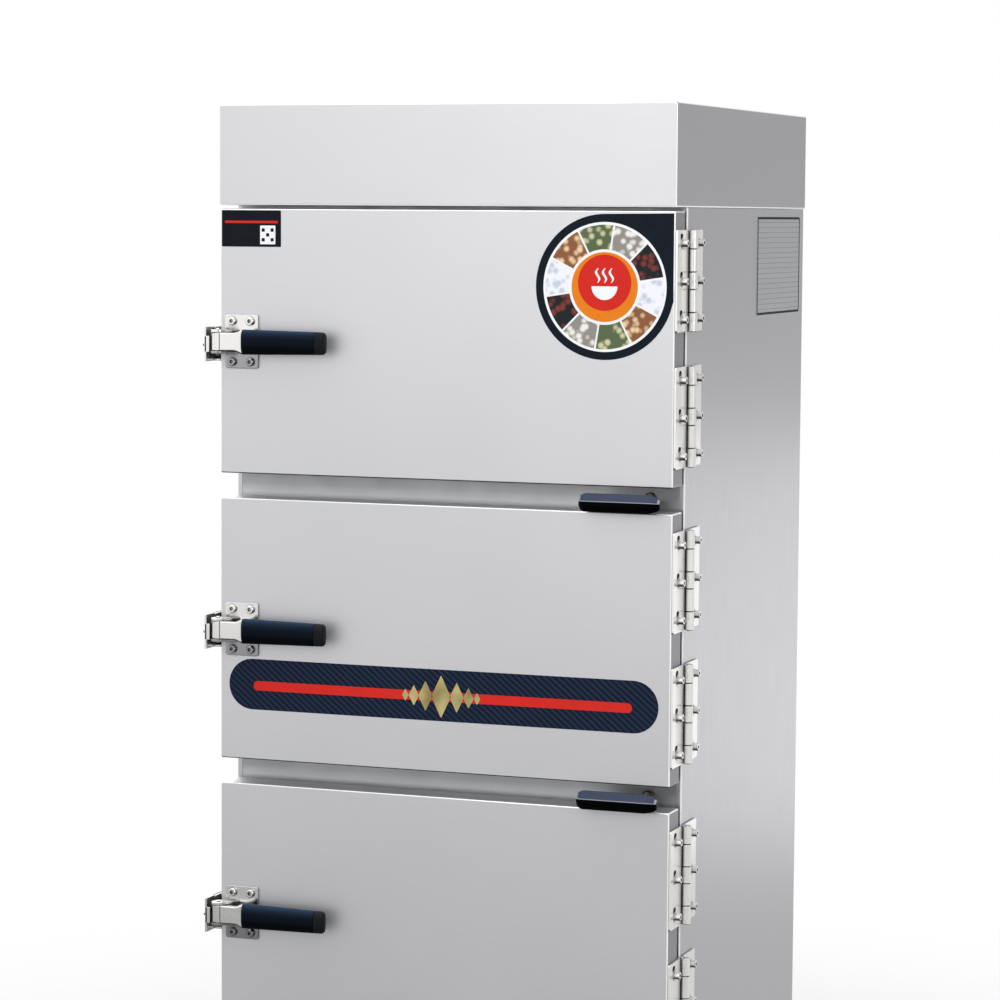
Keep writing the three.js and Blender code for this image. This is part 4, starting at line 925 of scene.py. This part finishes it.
def chamber():
    width, height = MOUTH_HALF_WIDTH, MOUTH_HALF_HEIGHT
    cove = [(width - inset, height - inset, CHAMBER_BACK - setback, corner)
            for inset, setback, corner in COVE_ROWS]
    inside = [(width, height, CHAMBER_FRONT, COVE), *cove,
              (STEAM_HOLE, STEAM_HOLE, CHAMBER_BACK, STEAM_HOLE)]
    grown = [tuple(size + LINER_SHEET for size in row) for row in cove[::-1]]
    outside = [(STEAM_HOLE, STEAM_HOLE, CHAMBER_BACK + LINER_SHEET, STEAM_HOLE), *grown,
               (width + LINER_SHEET, height + LINER_SHEET, CHAMBER_FRONT, COVE + LINER_SHEET)]
    return moved(pressed(inside + outside, closed=True), facing=FACING_IN)


on_each_level("liner", chamber, "liner_steel", "cabinet", "chamber")

# %% Racks
RACK_OUTER = 289.7
RACK_ROD = 4
ROD_EDGE = 0.5
RACK_DEPTH = (80.3, 580.3)
RACK_HEIGHT = (-169.7, 162)
RUNNER_INNER = RACK_OUTER - 18
RUNNER_SHEET = 1.2
RUNNER_LIP = 3
RUNNER_PARTS = ((RACK_OUTER, RUNNER_SHEET), (RUNNER_INNER + RUNNER_SHEET, RUNNER_LIP))
RUNNER_HEIGHTS = (-102, -34, 34, 102)


def rod(length, axis):
    thin = RACK_ROD - ROD_EDGE
    return turned([(thin, 0), (RACK_ROD, ROD_EDGE), (RACK_ROD, length - ROD_EDGE),
                   (thin, length)], axis, 16)


def rack():
    front, back = RACK_DEPTH[0] + RACK_ROD, RACK_DEPTH[1] - RACK_ROD
    bottom, top = RACK_HEIGHT
    parts = [moved(rod(2 * RACK_OUTER, "X"), -RACK_OUTER, back, z)
             for z in (bottom + RACK_ROD, top - 3 * RACK_ROD)]
    for side in (-1, 1):
        parts += [moved(rod(top - bottom, "Z"), side * (RACK_OUTER - RACK_ROD), y, bottom)
                  for y in (front, back)]
        for z in RUNNER_HEIGHTS:
            for end, height in RUNNER_PARTS:
                width = sorted((side * RUNNER_INNER, side * end))
                parts.append(block(width, RACK_DEPTH, (z, z + height), 0.3))
    return joined(parts)


on_each_level("rack", rack, "rack_chrome", "cabinet", "tray_rack")

# %% [markdown]
# ## Body sheets
# The body is folded sheet: two sides with narrow returns, a front frame with a mouth for each
# chamber, a screwed back, a base pan, a cover below the lowest door and the hood on top.
# Round bends matter most here, as the corner beside the doors shows one bright line.

# %% Side panels
BODY_BOTTOM = 100
PANEL_TOP = 1474.7
BODY_SHEET = 1.5
BEND = 2.6
FRONT_RETURN = 8
BACK_RETURN = 20

right_line = [(HALF_WIDTH - FRONT_RETURN, BODY_FRONT), (HALF_WIDTH, BODY_FRONT),
              (HALF_WIDTH, BODY_BACK), (HALF_WIDTH - BACK_RETURN, BODY_BACK)]
left_line = [(-x, y) for x, y in right_line[::-1]]
for side, line in (("left", left_line), ("right", right_line)):
    add_piece(f"{side}_side", folded(line, BEND, BODY_SHEET, (BODY_BOTTOM, PANEL_TOP)),
              "satin_upright", replaces=[f"{side}_side_panel"])
print("side panels: 2")

# %% Front frame and back panel
FRAME_INSET = 8.3
BACK_INSET = 1.8
SHEET_CORNER = 1.5
BACK_FACE = 674.7
FITTINGS = {"inlet": (-150, 175, 10), "drain": (180, 129.3, 12), "gland": (-305, 175, 8)}
HOLE_GAP = 0.3
SCREW_ROWS = 7
SCREW_INSET = 11
SCREW_MARGIN = 60

panel_half = (PANEL_TOP - BODY_BOTTOM) / 2
panel_middle = (PANEL_TOP + BODY_BOTTOM) / 2
mouth = rounded_rect(MOUTH_HALF_WIDTH, MOUTH_HALF_HEIGHT, COVE)
mouths = [shifted(mouth, 0, MIDDLE[level] - panel_middle) for level in LEVELS]
outline = rounded_rect(HALF_WIDTH - FRAME_INSET, panel_half, SHEET_CORNER)
face = plate([outline, *mouths], FRAME_SHEET)
add_piece("frame_sheet", moved(face, 0, BODY_FRONT + FRAME_SHEET / 2, panel_middle, FACING_FRONT),
          "frame_steel", replaces=["front_frame"])

holes = [circle((x, z - panel_middle), radius + HOLE_GAP, 24) for x, z, radius in FITTINGS.values()]
back = plate([rounded_rect(HALF_WIDTH - BACK_INSET, panel_half, SHEET_CORNER), *holes], BODY_SHEET)
add_piece("back_sheet", moved(back, 0, BACK_FACE + BODY_SHEET / 2, panel_middle, FACING_FRONT),
          "satin_upright", replaces=["back_panel"])
screw_step = (PANEL_TOP - BODY_BOTTOM - 2 * SCREW_MARGIN) / (SCREW_ROWS - 1)
heights = [BODY_BOTTOM + SCREW_MARGIN + i * screw_step for i in range(SCREW_ROWS)]
screws = [moved(pan_screw(), side * (HALF_WIDTH - SCREW_INSET), BODY_BACK, z)
          for side in (-1, 1) for z in heights]
add_piece("back_screws", joined(screws), "polished_steel")
print("mouths:", len(mouths), "back screws:", 2 * SCREW_ROWS)

# %% Base pan with its sleeves, and base cover
PAN_SHEET = 3
PAN_RIM = 12
PAN_DEPTH = (60.3, 674.4)
FOOT_X = 285
FOOT_Y = (118, 618)
SLEEVE = ((14.3, 26.3), (23.4, 26.3), (24, 27), (24, 101.5), (14.3, 97))

half_deep = (PAN_DEPTH[1] - PAN_DEPTH[0]) / 2
half_wide = HALF_WIDTH - BACK_INSET
rows = [(half_wide - inset, half_deep - inset, depth, corner) for inset, depth, corner in
        ((2, 0, 3), (0.6, 0.6, 4), (0, 2, 4.5), (0, PAN_RIM, 4.5), (PAN_SHEET, PAN_RIM, 2),
         (PAN_SHEET, PAN_SHEET, 2))]
parts = [moved(pressed(rows), 0, sum(PAN_DEPTH) / 2, BODY_BOTTOM)]
parts += [moved(turned(SLEEVE, "Z", 40, closed=True), x, y)
          for x in (-FOOT_X, FOOT_X) for y in FOOT_Y]
add_piece("pan_sheet", joined(parts), "satin_steel", replaces=["base_pan"])

cover_low, cover_high = box_mm("base_cover")
cover = pan(HALF_WIDTH, (cover_high.z - cover_low.z) / 2, cover_high.y)
add_piece("cover_sheet", moved(cover, z=(cover_high.z + cover_low.z) / 2), "satin_steel",
          replaces=["base_cover"])
print("base cover:", round(cover_high.z - cover_low.z), "mm tall")

# %% Hood and its louvres
HOOD_EDGE = 2.4
HOOD_CORNER = 2.8
LOUVRE_HALF = 80
LOUVRE_SLOT = (3, 2.9)
LOUVRE_RISES = (-32, -16, 0, 16, 32)
LOUVRE_SECTION = ((0, 6.5), (1.2, 6.3), (3.6, 4.6), (5, 1.6), (5.2, -1.5), (4.4, -1.5),
                  (4.2, 1.4), (3, 3.8), (0.8, 5.4), (0, 5.6))
LOUVRE_ENDS = ((4, 0.05), (-2, 0.7), (-8, 1))
HOOD_SCREW = (14, 54)

hood_low, hood_high = box_mm("top_hood")
hood_half = (hood_high.z - hood_low.z) / 2
hood_middle = (hood_high.z + hood_low.z) / 2
wrap = pan(hood_high.x, hood_half, hood_high.y - BODY_SHEET, BODY_SHEET, HOOD_EDGE, HOOD_CORNER)
add_piece("hood_wrap", moved(wrap, z=hood_middle), "satin_steel", replaces=["top_hood"])
slots = [shifted(rounded_rect(LOUVRE_HALF, *LOUVRE_SLOT), 0, rise) for rise in LOUVRE_RISES]
rear = plate([rounded_rect(hood_high.x - 0.2, hood_half - 0.2, 2), *slots], BODY_SHEET)
parts = [moved(rear, 0, hood_high.y - BODY_SHEET / 2, hood_middle, FACING_FRONT)]
ends = [(LOUVRE_HALF + past, shrink) for past, shrink in LOUVRE_ENDS]
stations = [(-x, shrink) for x, shrink in ends] + ends[::-1]
for rise in LOUVRE_RISES:
    rows = [[(x, out * shrink, up) for out, up in LOUVRE_SECTION] for x, shrink in stations]
    parts.append(moved(lofted(rows), 0, hood_high.y - 0.1, hood_middle + rise))
parts += [moved(pan_screw(), side * (hood_high.x - HOOD_SCREW[0]), hood_high.y,
                hood_middle + up * HOOD_SCREW[1]) for side in (-1, 1) for up in (-1, 1)]
add_piece("hood_back", joined(parts), "satin_steel", replaces=["top_hood"])
print("louvres:", len(LOUVRE_RISES))

# %% [markdown]
# ## Hinges
# Two heavy butt hinges carry each door on the right. A leaf is cast three millimetres thick, with
# its knuckles round a pin, slots that let the door be set, and cap screws with hexagon sockets.
# Door leaf and body leaf are pieces of their own, since they part.

# %% Hinges
HINGE_X = 353.5
HINGE_Y = 58
HINGE_RISES = {"bottom": 26, "top": 216}
HINGE_LENGTH = 142
KNUCKLES = (0, 26.98, 59.07, 83.35, 115.45, 142)
KNUCKLE_SEAM = 0.35
BARREL = 6.8
BARREL_EDGE = 0.7
PIN_BORE = 3.1
LEAF_NEAR = -8.2
LEAF_FAR = -5.2
LEAF_START = 7.6
BODY_REACH = 63
DOOR_REACH = -57.2
BOLT_RISES = (18, 71, 124)
HINGE_BOLT = (5.4, 9)
WASHER = ((7, 0), (7, 0.5), (6.6, 0.8), (5, 0.8))
LEAF_CORNER = 3
LEAF_SLOT = (6.4, 4.2, 4)


def knuckle(low, high):
    rim = BARREL - BARREL_EDGE
    return turned([(PIN_BORE, low), (rim, low), (BARREL, low + BARREL_EDGE),
                   (BARREL, high - BARREL_EDGE), (rim, high), (PIN_BORE, high)], closed=True)


def leaf(reach, start, first, slots, bolts):
    low, high = sorted((start, reach))
    middle, half = (low + high) / 2, HINGE_LENGTH / 2
    holes = [shifted(rounded_rect(*LEAF_SLOT), y - middle, z - half) for y, z in slots]
    outline = rounded_rect((high - low) / 2, half, LEAF_CORNER)
    flat = plate([outline, *holes], LEAF_FAR - LEAF_NEAR)
    parts = [moved(flat, (LEAF_FAR + LEAF_NEAR) / 2, middle, half, FACING_RIGHT)]
    for y, z in bolts:
        parts.append(moved(socket_bolt(*HINGE_BOLT, "X"), LEAF_FAR, y, z))
        parts.append(moved(turned(WASHER, "X", 24), LEAF_FAR, y, z))
    for bottom, top in list(zip(KNUCKLES, KNUCKLES[1:]))[first::2]:
        ends = (bottom + KNUCKLE_SEAM, top - KNUCKLE_SEAM)
        parts.append(knuckle(*ends))
        parts.append(block((LEAF_NEAR, LEAF_FAR), sorted((start, 0)), ends, 0.2))
    return joined(parts)


def body_leaf():
    return leaf(BODY_REACH, LEAF_START, 0, [], [(41, z) for z in BOLT_RISES])


def door_leaf():
    return leaf(DOOR_REACH, -LEAF_START, 1, [(-38, z + 8.5) for z in BOLT_RISES],
                [(-36, z - 0.5) for z in BOLT_RISES])


for level in LEVELS:
    for end, rise in HINGE_RISES.items():
        spot = (HINGE_X, HINGE_Y, DOOR_BOX[level][0].z + rise)
        for part, make, body in (("body_leaf", body_leaf, "cabinet"),
                                 ("door_leaf", door_leaf, f"{level}_door")):
            add_piece(f"{level}_{end}_{part}", moved(make(), *spot), "hinge_steel", body,
                      [f"{level}_{end}_hinge_{part}"])
        pin = turned([(3, -0.6), (3, HINGE_LENGTH), (2.4, HINGE_LENGTH + 0.6)], "Z", 20)
        add_piece(f"{level}_{end}_hinge_pin", moved(pin, *spot), "polished_steel")
print("hinges:", len(HINGE_RISES) * len(LEVELS))

# %% [markdown]
# ## Latches
# A lever latch of cast and polished steel: a plate with four cap screws, two ears that hold a
# pin, and the lever with its cam, whose far end is buried in a moulded grip. The keeper is a
# folded bracket on the side of the body.

# %% Latch plates and levers
LATCH_FACE = -3.3
LATCH_PLATE = (26, 39, 3.5)
LATCH_MIDDLE = 35
LATCH_SHEET = 3
LATCH_BOLTS = [(x, z) for x in (20.75, 49.25) for z in (-29.5, 29.5)]
PIVOT = (5, -20)
EAR_RADIUS = 10.5
EAR_RISE = 15.3
HUB = ((3.3, -13), (8, -13), (8.8, -12.2), (8.8, 12.2), (8, 13), (3.3, 13))
LATCH_PIN = ((1.6, -19.3), (3, -18.6), (3, 18.6), (1.6, 19.3))
NECK_MIDDLE = -25
NECK = ((12, 4.2, 12.2, 1), (12.6, 5, 13, 1.6), (31.5, 5, 13, 2), (35.5, 5, 13.3, 2.2),
        (39, 5, 14.2, 2.6), (42, 5, 15.8, 3), (45, 5, 17.3, 3.2), (47.3, 5, 17.9, 3.2))


def latch_plate():
    face = plate([rounded_rect(*LATCH_PLATE)], LATCH_SHEET, 0.5)
    parts = [moved(face, LATCH_MIDDLE, LATCH_FACE + LATCH_SHEET / 2, 0, FACING_FRONT)]
    parts += [moved(socket_bolt(5.8, 5, "-Y", 30), x, LATCH_FACE, z) for x, z in LATCH_BOLTS]
    ear = [(12, -1.8), (36, -1.8), (33, -3.3)] + arc(PIVOT, EAR_RADIUS, -38, -225, 14)
    parts += [moved(plate([ear], 4, 0.5), z=z) for z in (-EAR_RISE, EAR_RISE)]
    parts.append(moved(turned(LATCH_PIN, "Z", 24), *PIVOT))
    return joined(parts)


def lever():
    neck = [[(x, NECK_MIDDLE + v, w) for v, w in rounded_rect(half_y, half_z, corner)]
            for x, half_y, half_z, corner in NECK]
    return joined([moved(turned(HUB, "Z", 36, closed=True), *PIVOT),
                   block((-6.6, 5), (-20, -12), (-13, 13), 1.8, 3),
                   block((4, 11.5), (-30, -20), (-13, 13), 1, 3), lofted(neck)])


on_each_level("latch_plate", latch_plate, "latch_steel", "door", "latch_base", -HALF_WIDTH)
on_each_level("lever", lever, "polished_steel", "latch", "latch_lever", -HALF_WIDTH)

# %% Latch grips
GRIP_START = 45
GRIP_FACE = 47.6
GRIP_END = 177
CAP_START = 161.5
GRIP_SIDES = 32
GRIP_SHARP = 48
GRIP_BODY = ((GRIP_FACE, 0.9), (GRIP_FACE + 0.4, 0.3), (GRIP_FACE + 1.4, 0), (103, 0),
             (CAP_START - 1.4, 0), (CAP_START - 0.5, 0.3), (CAP_START - 0.3, 0.8))
GRIP_CAP = ((CAP_START + 0.1, 0.8), (CAP_START + 0.3, 0.3), (CAP_START + 1.2, 0), (172.5, 0.1),
            (174.8, 0.9), (176.2, 2.3), (GRIP_END, 4.4))


def eased(value, power):
    return math.copysign(abs(value) ** power, value)


def grip(stations):
    """Sections like a flattened oval, crowned in front, which shrink a little towards the end."""
    angles = [2 * math.pi * (i + 0.5) / GRIP_SIDES for i in range(GRIP_SIDES)]
    rows = []
    for x, shrink in stations:
        share = (x - GRIP_START) / (GRIP_END - GRIP_START)
        half_y, half_z = 9.5 - 1.5 * share - shrink, 18.25 - 2 * share - shrink
        rows.append([(x, NECK_MIDDLE + half_y * eased(math.cos(a), 0.75),
                      half_z * eased(math.sin(a), 0.62)) for a in angles])
    return lofted(rows)


for level in LEVELS:
    for name, stations, slot in (("grip", GRIP_BODY, "grip_plastic"),
                                 ("grip_cap", GRIP_CAP, "cap_plastic")):
        add_piece(f"{level}_{name}", moved(grip(stations), -HALF_WIDTH, 0, MIDDLE[level]), slot,
                  f"{level}_latch", [f"{level}_latch_grip"], sharp=GRIP_SHARP)
print("grips:", len(LEVELS))

# %% Keepers
KEEPER_OUT = -12
KEEPER_DROP = 4
KEEPER_SHEET = 3


def keeper():
    out = KEEPER_OUT
    face = out - KEEPER_SHEET
    parts = [folded([(out, -24), (out, 64), (-0.3, 64), (-0.3, 108)], 4.2, KEEPER_SHEET, (-25, 25)),
             block((face, out + 5), (-24, -21), (-12, 12), 0.9, 3),
             block((face, -1), (2, 67), (-25, -22), 0.6),
             block((face, out + 3), (2, 67), (22, 25), 0.6)]
    parts += [moved(socket_bolt(5, 4, "-X"), -3.3, 89, z) for z in (-14, 14)]
    parts.append(moved(socket_bolt(4, 9, "-X"), out - 2, -8, 0))
    return joined(parts)


on_each_level("catch", keeper, "polished_steel", "cabinet", "keeper", -HALF_WIDTH, KEEPER_DROP)

# %% [markdown]
# ## Steam valves
# Below each door a quarter-turn lever opens that chamber's steam. A flat steel bar turns on a pin
# under a domed nut, and a glossy moulded grip is pressed over the bar. The bracket's arm leans
# to the left, so that it is hidden behind the grip from the front.

# %% Steam valves
VALVE_X = 311.5
VALVE_Y = 4
VALVE_DROP = 22
VALVE_MIDDLE = -19
VALVE_HALF = (11, 13)
VALVE_SHARP = 24
VALVE_ROWS = ((-98.5, 8.4), (-98, 6.4), (-96.6, 4), (-94.2, 1.9), (-91, 0.5), (-88, 0), (3, 0),
              (5, 0.3), (16.5, 3.4), (18.6, 5), (19.8, 6.8), (20.3, 8.8))
FACETS = ((1, 0.2), (0.34, 1), (-0.34, 1), (-1, 0.2), (-1, -0.35), (-0.5, -1), (0.5, -1),
          (1, -0.35))


def valve_grip():
    """Eight facets with soft edges, drawn in at both ends."""
    rows = []
    for x, cut in VALVE_ROWS:
        half_y, half_z = VALVE_HALF[0] - cut, VALVE_HALF[1] - cut
        facets = softened([(half_y * v, half_z * w) for v, w in FACETS], 0.26 * half_y, 3)
        rows.append([(x, VALVE_MIDDLE + v, w) for v, w in facets])
    return lofted(rows)


def valve_bar():
    outline = [(-72, -20), (-4, -20)] + arc((0, 0), 8, -60, 90, 10) + arc((-66, 2), 6, 90, 180, 5)
    return moved(plate([outline, circle((0, 0), 4.3, 24)], 4, 0.4), z=6)


def valve_bracket():
    arm = [(-8, 55), (-20, 55)] + arc((0, 0), 7, 180, 360, 14)
    return joined([moved(plate([arm], 3, 0.3), z=2.2), turned([(4, 2), (4, 12)], "Z", 24),
                   moved(turned([(6.8, 0), (6.8, 0.5), (4, 0.5)], "Z", 24), z=8.2)])


for level in LEVELS:
    spot = (VALVE_X, VALVE_Y, DOOR_BOX[level][0].z - VALVE_DROP)
    nut = moved(dome_nut(8.8, 7.1), z=8.7)
    add_piece(f"{level}_valve_grip", moved(valve_grip(), *spot), "lever_plastic", f"{level}_valve",
              [f"{level}_valve_lever"], VALVE_SHARP)
    add_piece(f"{level}_valve_bar", moved(valve_bar(), *spot), "polished_steel", f"{level}_valve",
              [f"{level}_valve_lever"])
    add_piece(f"{level}_valve_bracket", moved(valve_bracket(), *spot), "frame_steel", "cabinet",
              ["front_frame"])
    add_piece(f"{level}_valve_nut", moved(nut, *spot), "black_steel", "cabinet", ["front_frame"])
print("valves:", len(LEVELS))

# %% [markdown]
# ## Feet and fittings
# Screw feet with a moulded pad level the cabinet. On the back there are a threaded water inlet, a
# drain and a cable gland, all guessed, since the photograph does not show them.

# %% Feet
FOOT_PAD = ((12.5, 0), (13.6, 0.4), (21.4, 10.6), (22, 12), (22, 24.6), (21.2, 26), (15, 26))
FOOT_STEM = ((14, 25.5), (14, 92), (12.5, 94))

for side, x in (("left", -FOOT_X), ("right", FOOT_X)):
    for end, y in zip(("front", "rear"), FOOT_Y):
        foot = f"{end}_{side}"
        add_piece(f"{foot}_pad", moved(turned(FOOT_PAD, "Z", 40), x, y), "foot_plastic",
                  f"{foot}_leg", [f"{foot}_foot"])
        add_piece(f"{foot}_stem", moved(turned(FOOT_STEM, "Z", 40), x, y), "polished_steel",
                  f"{foot}_leg", [f"{foot}_foot"])
print("feet: 4")

# %% Fittings on the back
PIPE_INSIDE = 657.4
PIPE_END = 708
NUT_FACES = (676.5, 676.6, 688.4, 688.5)
THREAD = (689.5, PIPE_END - 0.5)
THREAD_PITCH = 1.8
THREAD_DEPTH = 0.6
GLAND = ((5, 664.7), (8, 664.7), (8, 676.5), (12.6, 676.6, "hex"), (12.6, 682.5, "hex"),
         (11.4, 683.2), (11.6, 690), (9.6, 696), (7.4, 698), (5, 697.4))


def fitting(radius):
    rim, bore, root = radius * 1.55, radius * 0.62, radius - THREAD_DEPTH
    rows = [(bore, PIPE_INSIDE), (radius, PIPE_INSIDE), (radius, NUT_FACES[0]),
            (rim, NUT_FACES[1], "hex"), (rim, NUT_FACES[2], "hex"), (radius, NUT_FACES[3])]
    for i in range(int((THREAD[1] - THREAD[0]) / THREAD_PITCH)):
        rows += [(radius, THREAD[0] + i * THREAD_PITCH),
                 (root, THREAD[0] + (i + 0.5) * THREAD_PITCH)]
    return rows + [(root, THREAD[1]), (radius * 0.7, PIPE_END), (bore, PIPE_END - 1)]


for name, node, finish in (("inlet", "water_inlet", "brass"),
                           ("drain", "drain_pipe", "liner_steel"),
                           ("gland", "cable_gland", "foot_plastic")):
    x, z, radius = FITTINGS[name]
    rows, ending = (GLAND, "body") if name == "gland" else (fitting(radius), "fitting")
    add_piece(f"{name}_{ending}", moved(turned(rows, "Y", 36, closed=True), x, 0, z), finish,
              replaces=[node])
print("pieces:", len(PIECES))

# %% [markdown]
# ## Badge, strip, label and data plate
# These are thin films of vinyl on the door fronts, and a metal plate on the side. The badge is a
# navy disc whose film also fills the door's corner, with a white ring, printed panels and a red
# and orange middle. The strip has a red band and a row of gold lozenges. The printed panels
# carry plain speckles of this model's own.

# %% Films
FILM = 0.25
FILM_GAP = 0.02


def film(name, finish, door, layer, *outlines):
    """Flat films of one finish on a door. Layers lie on one another from the door outwards."""
    depth = (layer + 0.5) * FILM + FILM_GAP
    shapes = [plate([outline], FILM, 0.05) for outline in outlines]
    add_piece(name, moved(joined(shapes), 0, -depth, 0, FACING_FRONT), finish, f"{door}_door")


# %% Badge
BADGE = (243, 1364)
BADGE_RADIUS = 101.5
BADGE_CORNER = (343, 1466.6)
DISC_RADIUS = 90.3
TILE_OUTER = 86.5
TILE_INNER = 52.5
TILE_GAP = 1.4
TILE_KINDS = ("brick", "cream", "olive", "sand", "mist")
TILES = 10
FIRST_TILE = 9
MIDDLE_RADIUS = 48.5
HEART_RADIUS = 39
BOWL_RADIUS = 19
HEART = (BADGE[0], BADGE[1] + 6)
ROUND = 72


def tile(index):
    turn = 360 / TILES
    start = index * turn + FIRST_TILE
    near, far = math.degrees(TILE_GAP / TILE_INNER), math.degrees(TILE_GAP / TILE_OUTER)
    return (arc(BADGE, TILE_OUTER, start + far, start + turn - far, 10)
            + arc(BADGE, TILE_INNER, start + turn - near, start + near, 8))


def steam_curl(x):
    """A rising line of steam."""
    left, right = [], []
    for i in range(13):
        z = HEART[1] + i * 1.7
        sway = 2.4 * math.sin(i * 0.55)
        width = 1.7 * math.sin(math.pi * (i + 1) / 14) + 0.2
        left.append((HEART[0] + x + sway - width, z))
        right.append((HEART[0] + x + sway + width, z))
    return right + left[::-1]


outline = arc(BADGE, BADGE_RADIUS, 90, 358, 80) + [(BADGE_CORNER[0], BADGE[1] - 20), BADGE_CORNER]
film("badge_film", "navy", "upper", 0, outline)
film("badge_disc", "white", "upper", 1, circle(BADGE, DISC_RADIUS, ROUND))
for first, kind in enumerate(TILE_KINDS):
    film(f"badge_{kind}", kind, "upper", 2, *map(tile, range(first, TILES, len(TILE_KINDS))))
film("badge_middle", "orange", "upper", 2, circle(BADGE, MIDDLE_RADIUS, ROUND))
film("badge_heart", "red", "upper", 3, circle(HEART, HEART_RADIUS, ROUND))
bowl = arc((BADGE[0], BADGE[1] + 1), BOWL_RADIUS, 180, 360, 16)
film("badge_bowl", "white", "upper", 4, bowl, *map(steam_curl, (-10, 0, 10)))
print("badge tiles:", TILES)

# %% Strip
STRIP_X = (-331.1, 327.8)
STRIP_Z = (740, 814.5)
BAND_X = (-292, 289)
BAND_Z = 775.4
BAND_HALF = 7
LOZENGES = ((2, 15, 31), (-22, 11, 22), (26, 11, 22), (-40, 8, 15), (44, 8, 15), (-53, 5, 9),
            (57, 5, 9))


def lozenge(x, half_wide, half_tall):
    return softened([(x + half_wide, BAND_Z), (x, BAND_Z + half_tall), (x - half_wide, BAND_Z),
                     (x, BAND_Z - half_tall)], 0.8, 2)


strip_round = (STRIP_Z[1] - STRIP_Z[0]) / 2 - 0.01
film("strip_film", "weave", "middle", 0, framed(STRIP_X, STRIP_Z, strip_round, 12))
band = framed(BAND_X, (BAND_Z - BAND_HALF, BAND_Z + BAND_HALF), BAND_HALF - 0.5)
film("strip_band", "red", "middle", 1, band)
film("strip_lozenges", "gold_foil", "middle", 2, *(lozenge(*row) for row in LOZENGES))
print("lozenges:", len(LOZENGES))

# %% Corner label
LABEL_X = (-342.5, -249)
LABEL_Z = (1415, 1467.5)
RULE_X = (LABEL_X[0] + 5, LABEL_X[1] - 5)
RULE_Z = (1448.95, 1452.55)
PANEL = (-269.75, 1432.25)
PANEL_HALF = (12, 13.5)
CHECK_STEP = 7
CHECK_HALF = 2.4

film("label_film", "charcoal", "upper", 0, framed(LABEL_X, LABEL_Z, 1.2, 2))
film("label_rule", "red", "upper", 1, framed(RULE_X, RULE_Z, 0.8, 2))
film("label_panel", "white", "upper", 1, shifted(rounded_rect(*PANEL_HALF, 0.8, 2), *PANEL))
check = rounded_rect(CHECK_HALF, CHECK_HALF, 0.4, 2)
checks = [shifted(check, PANEL[0] + i * CHECK_STEP, PANEL[1] + j * CHECK_STEP)
          for i in (-1, 0, 1) for j in (-1, 0, 1) if (i + j) % 2 == 0]
film("label_checks", "navy", "upper", 2, *checks)
print("label checks:", len(checks))

# %% Data plate on the side
PLATE_MIDDLE = (533, 1389)
PLATE_HALF = (120, 74)

half_u, half_v = PLATE_HALF
face = plate([rounded_rect(half_u, half_v, 5)], 0.6, 0.15)
add_piece("plate_metal", moved(face, HALF_WIDTH + 0.35, *PLATE_MIDDLE, FACING_RIGHT), "data_plate")
rim = plate([rounded_rect(half_u - inset, half_v - inset, corner)
             for inset, corner in ((0.5, 5), (4, 3))], 0.2, 0.05)
add_piece("plate_rim", moved(rim, HALF_WIDTH + 0.72, *PLATE_MIDDLE, FACING_RIGHT), "charcoal")
print("data plate:", 2 * half_u, "by", 2 * half_v, "mm")
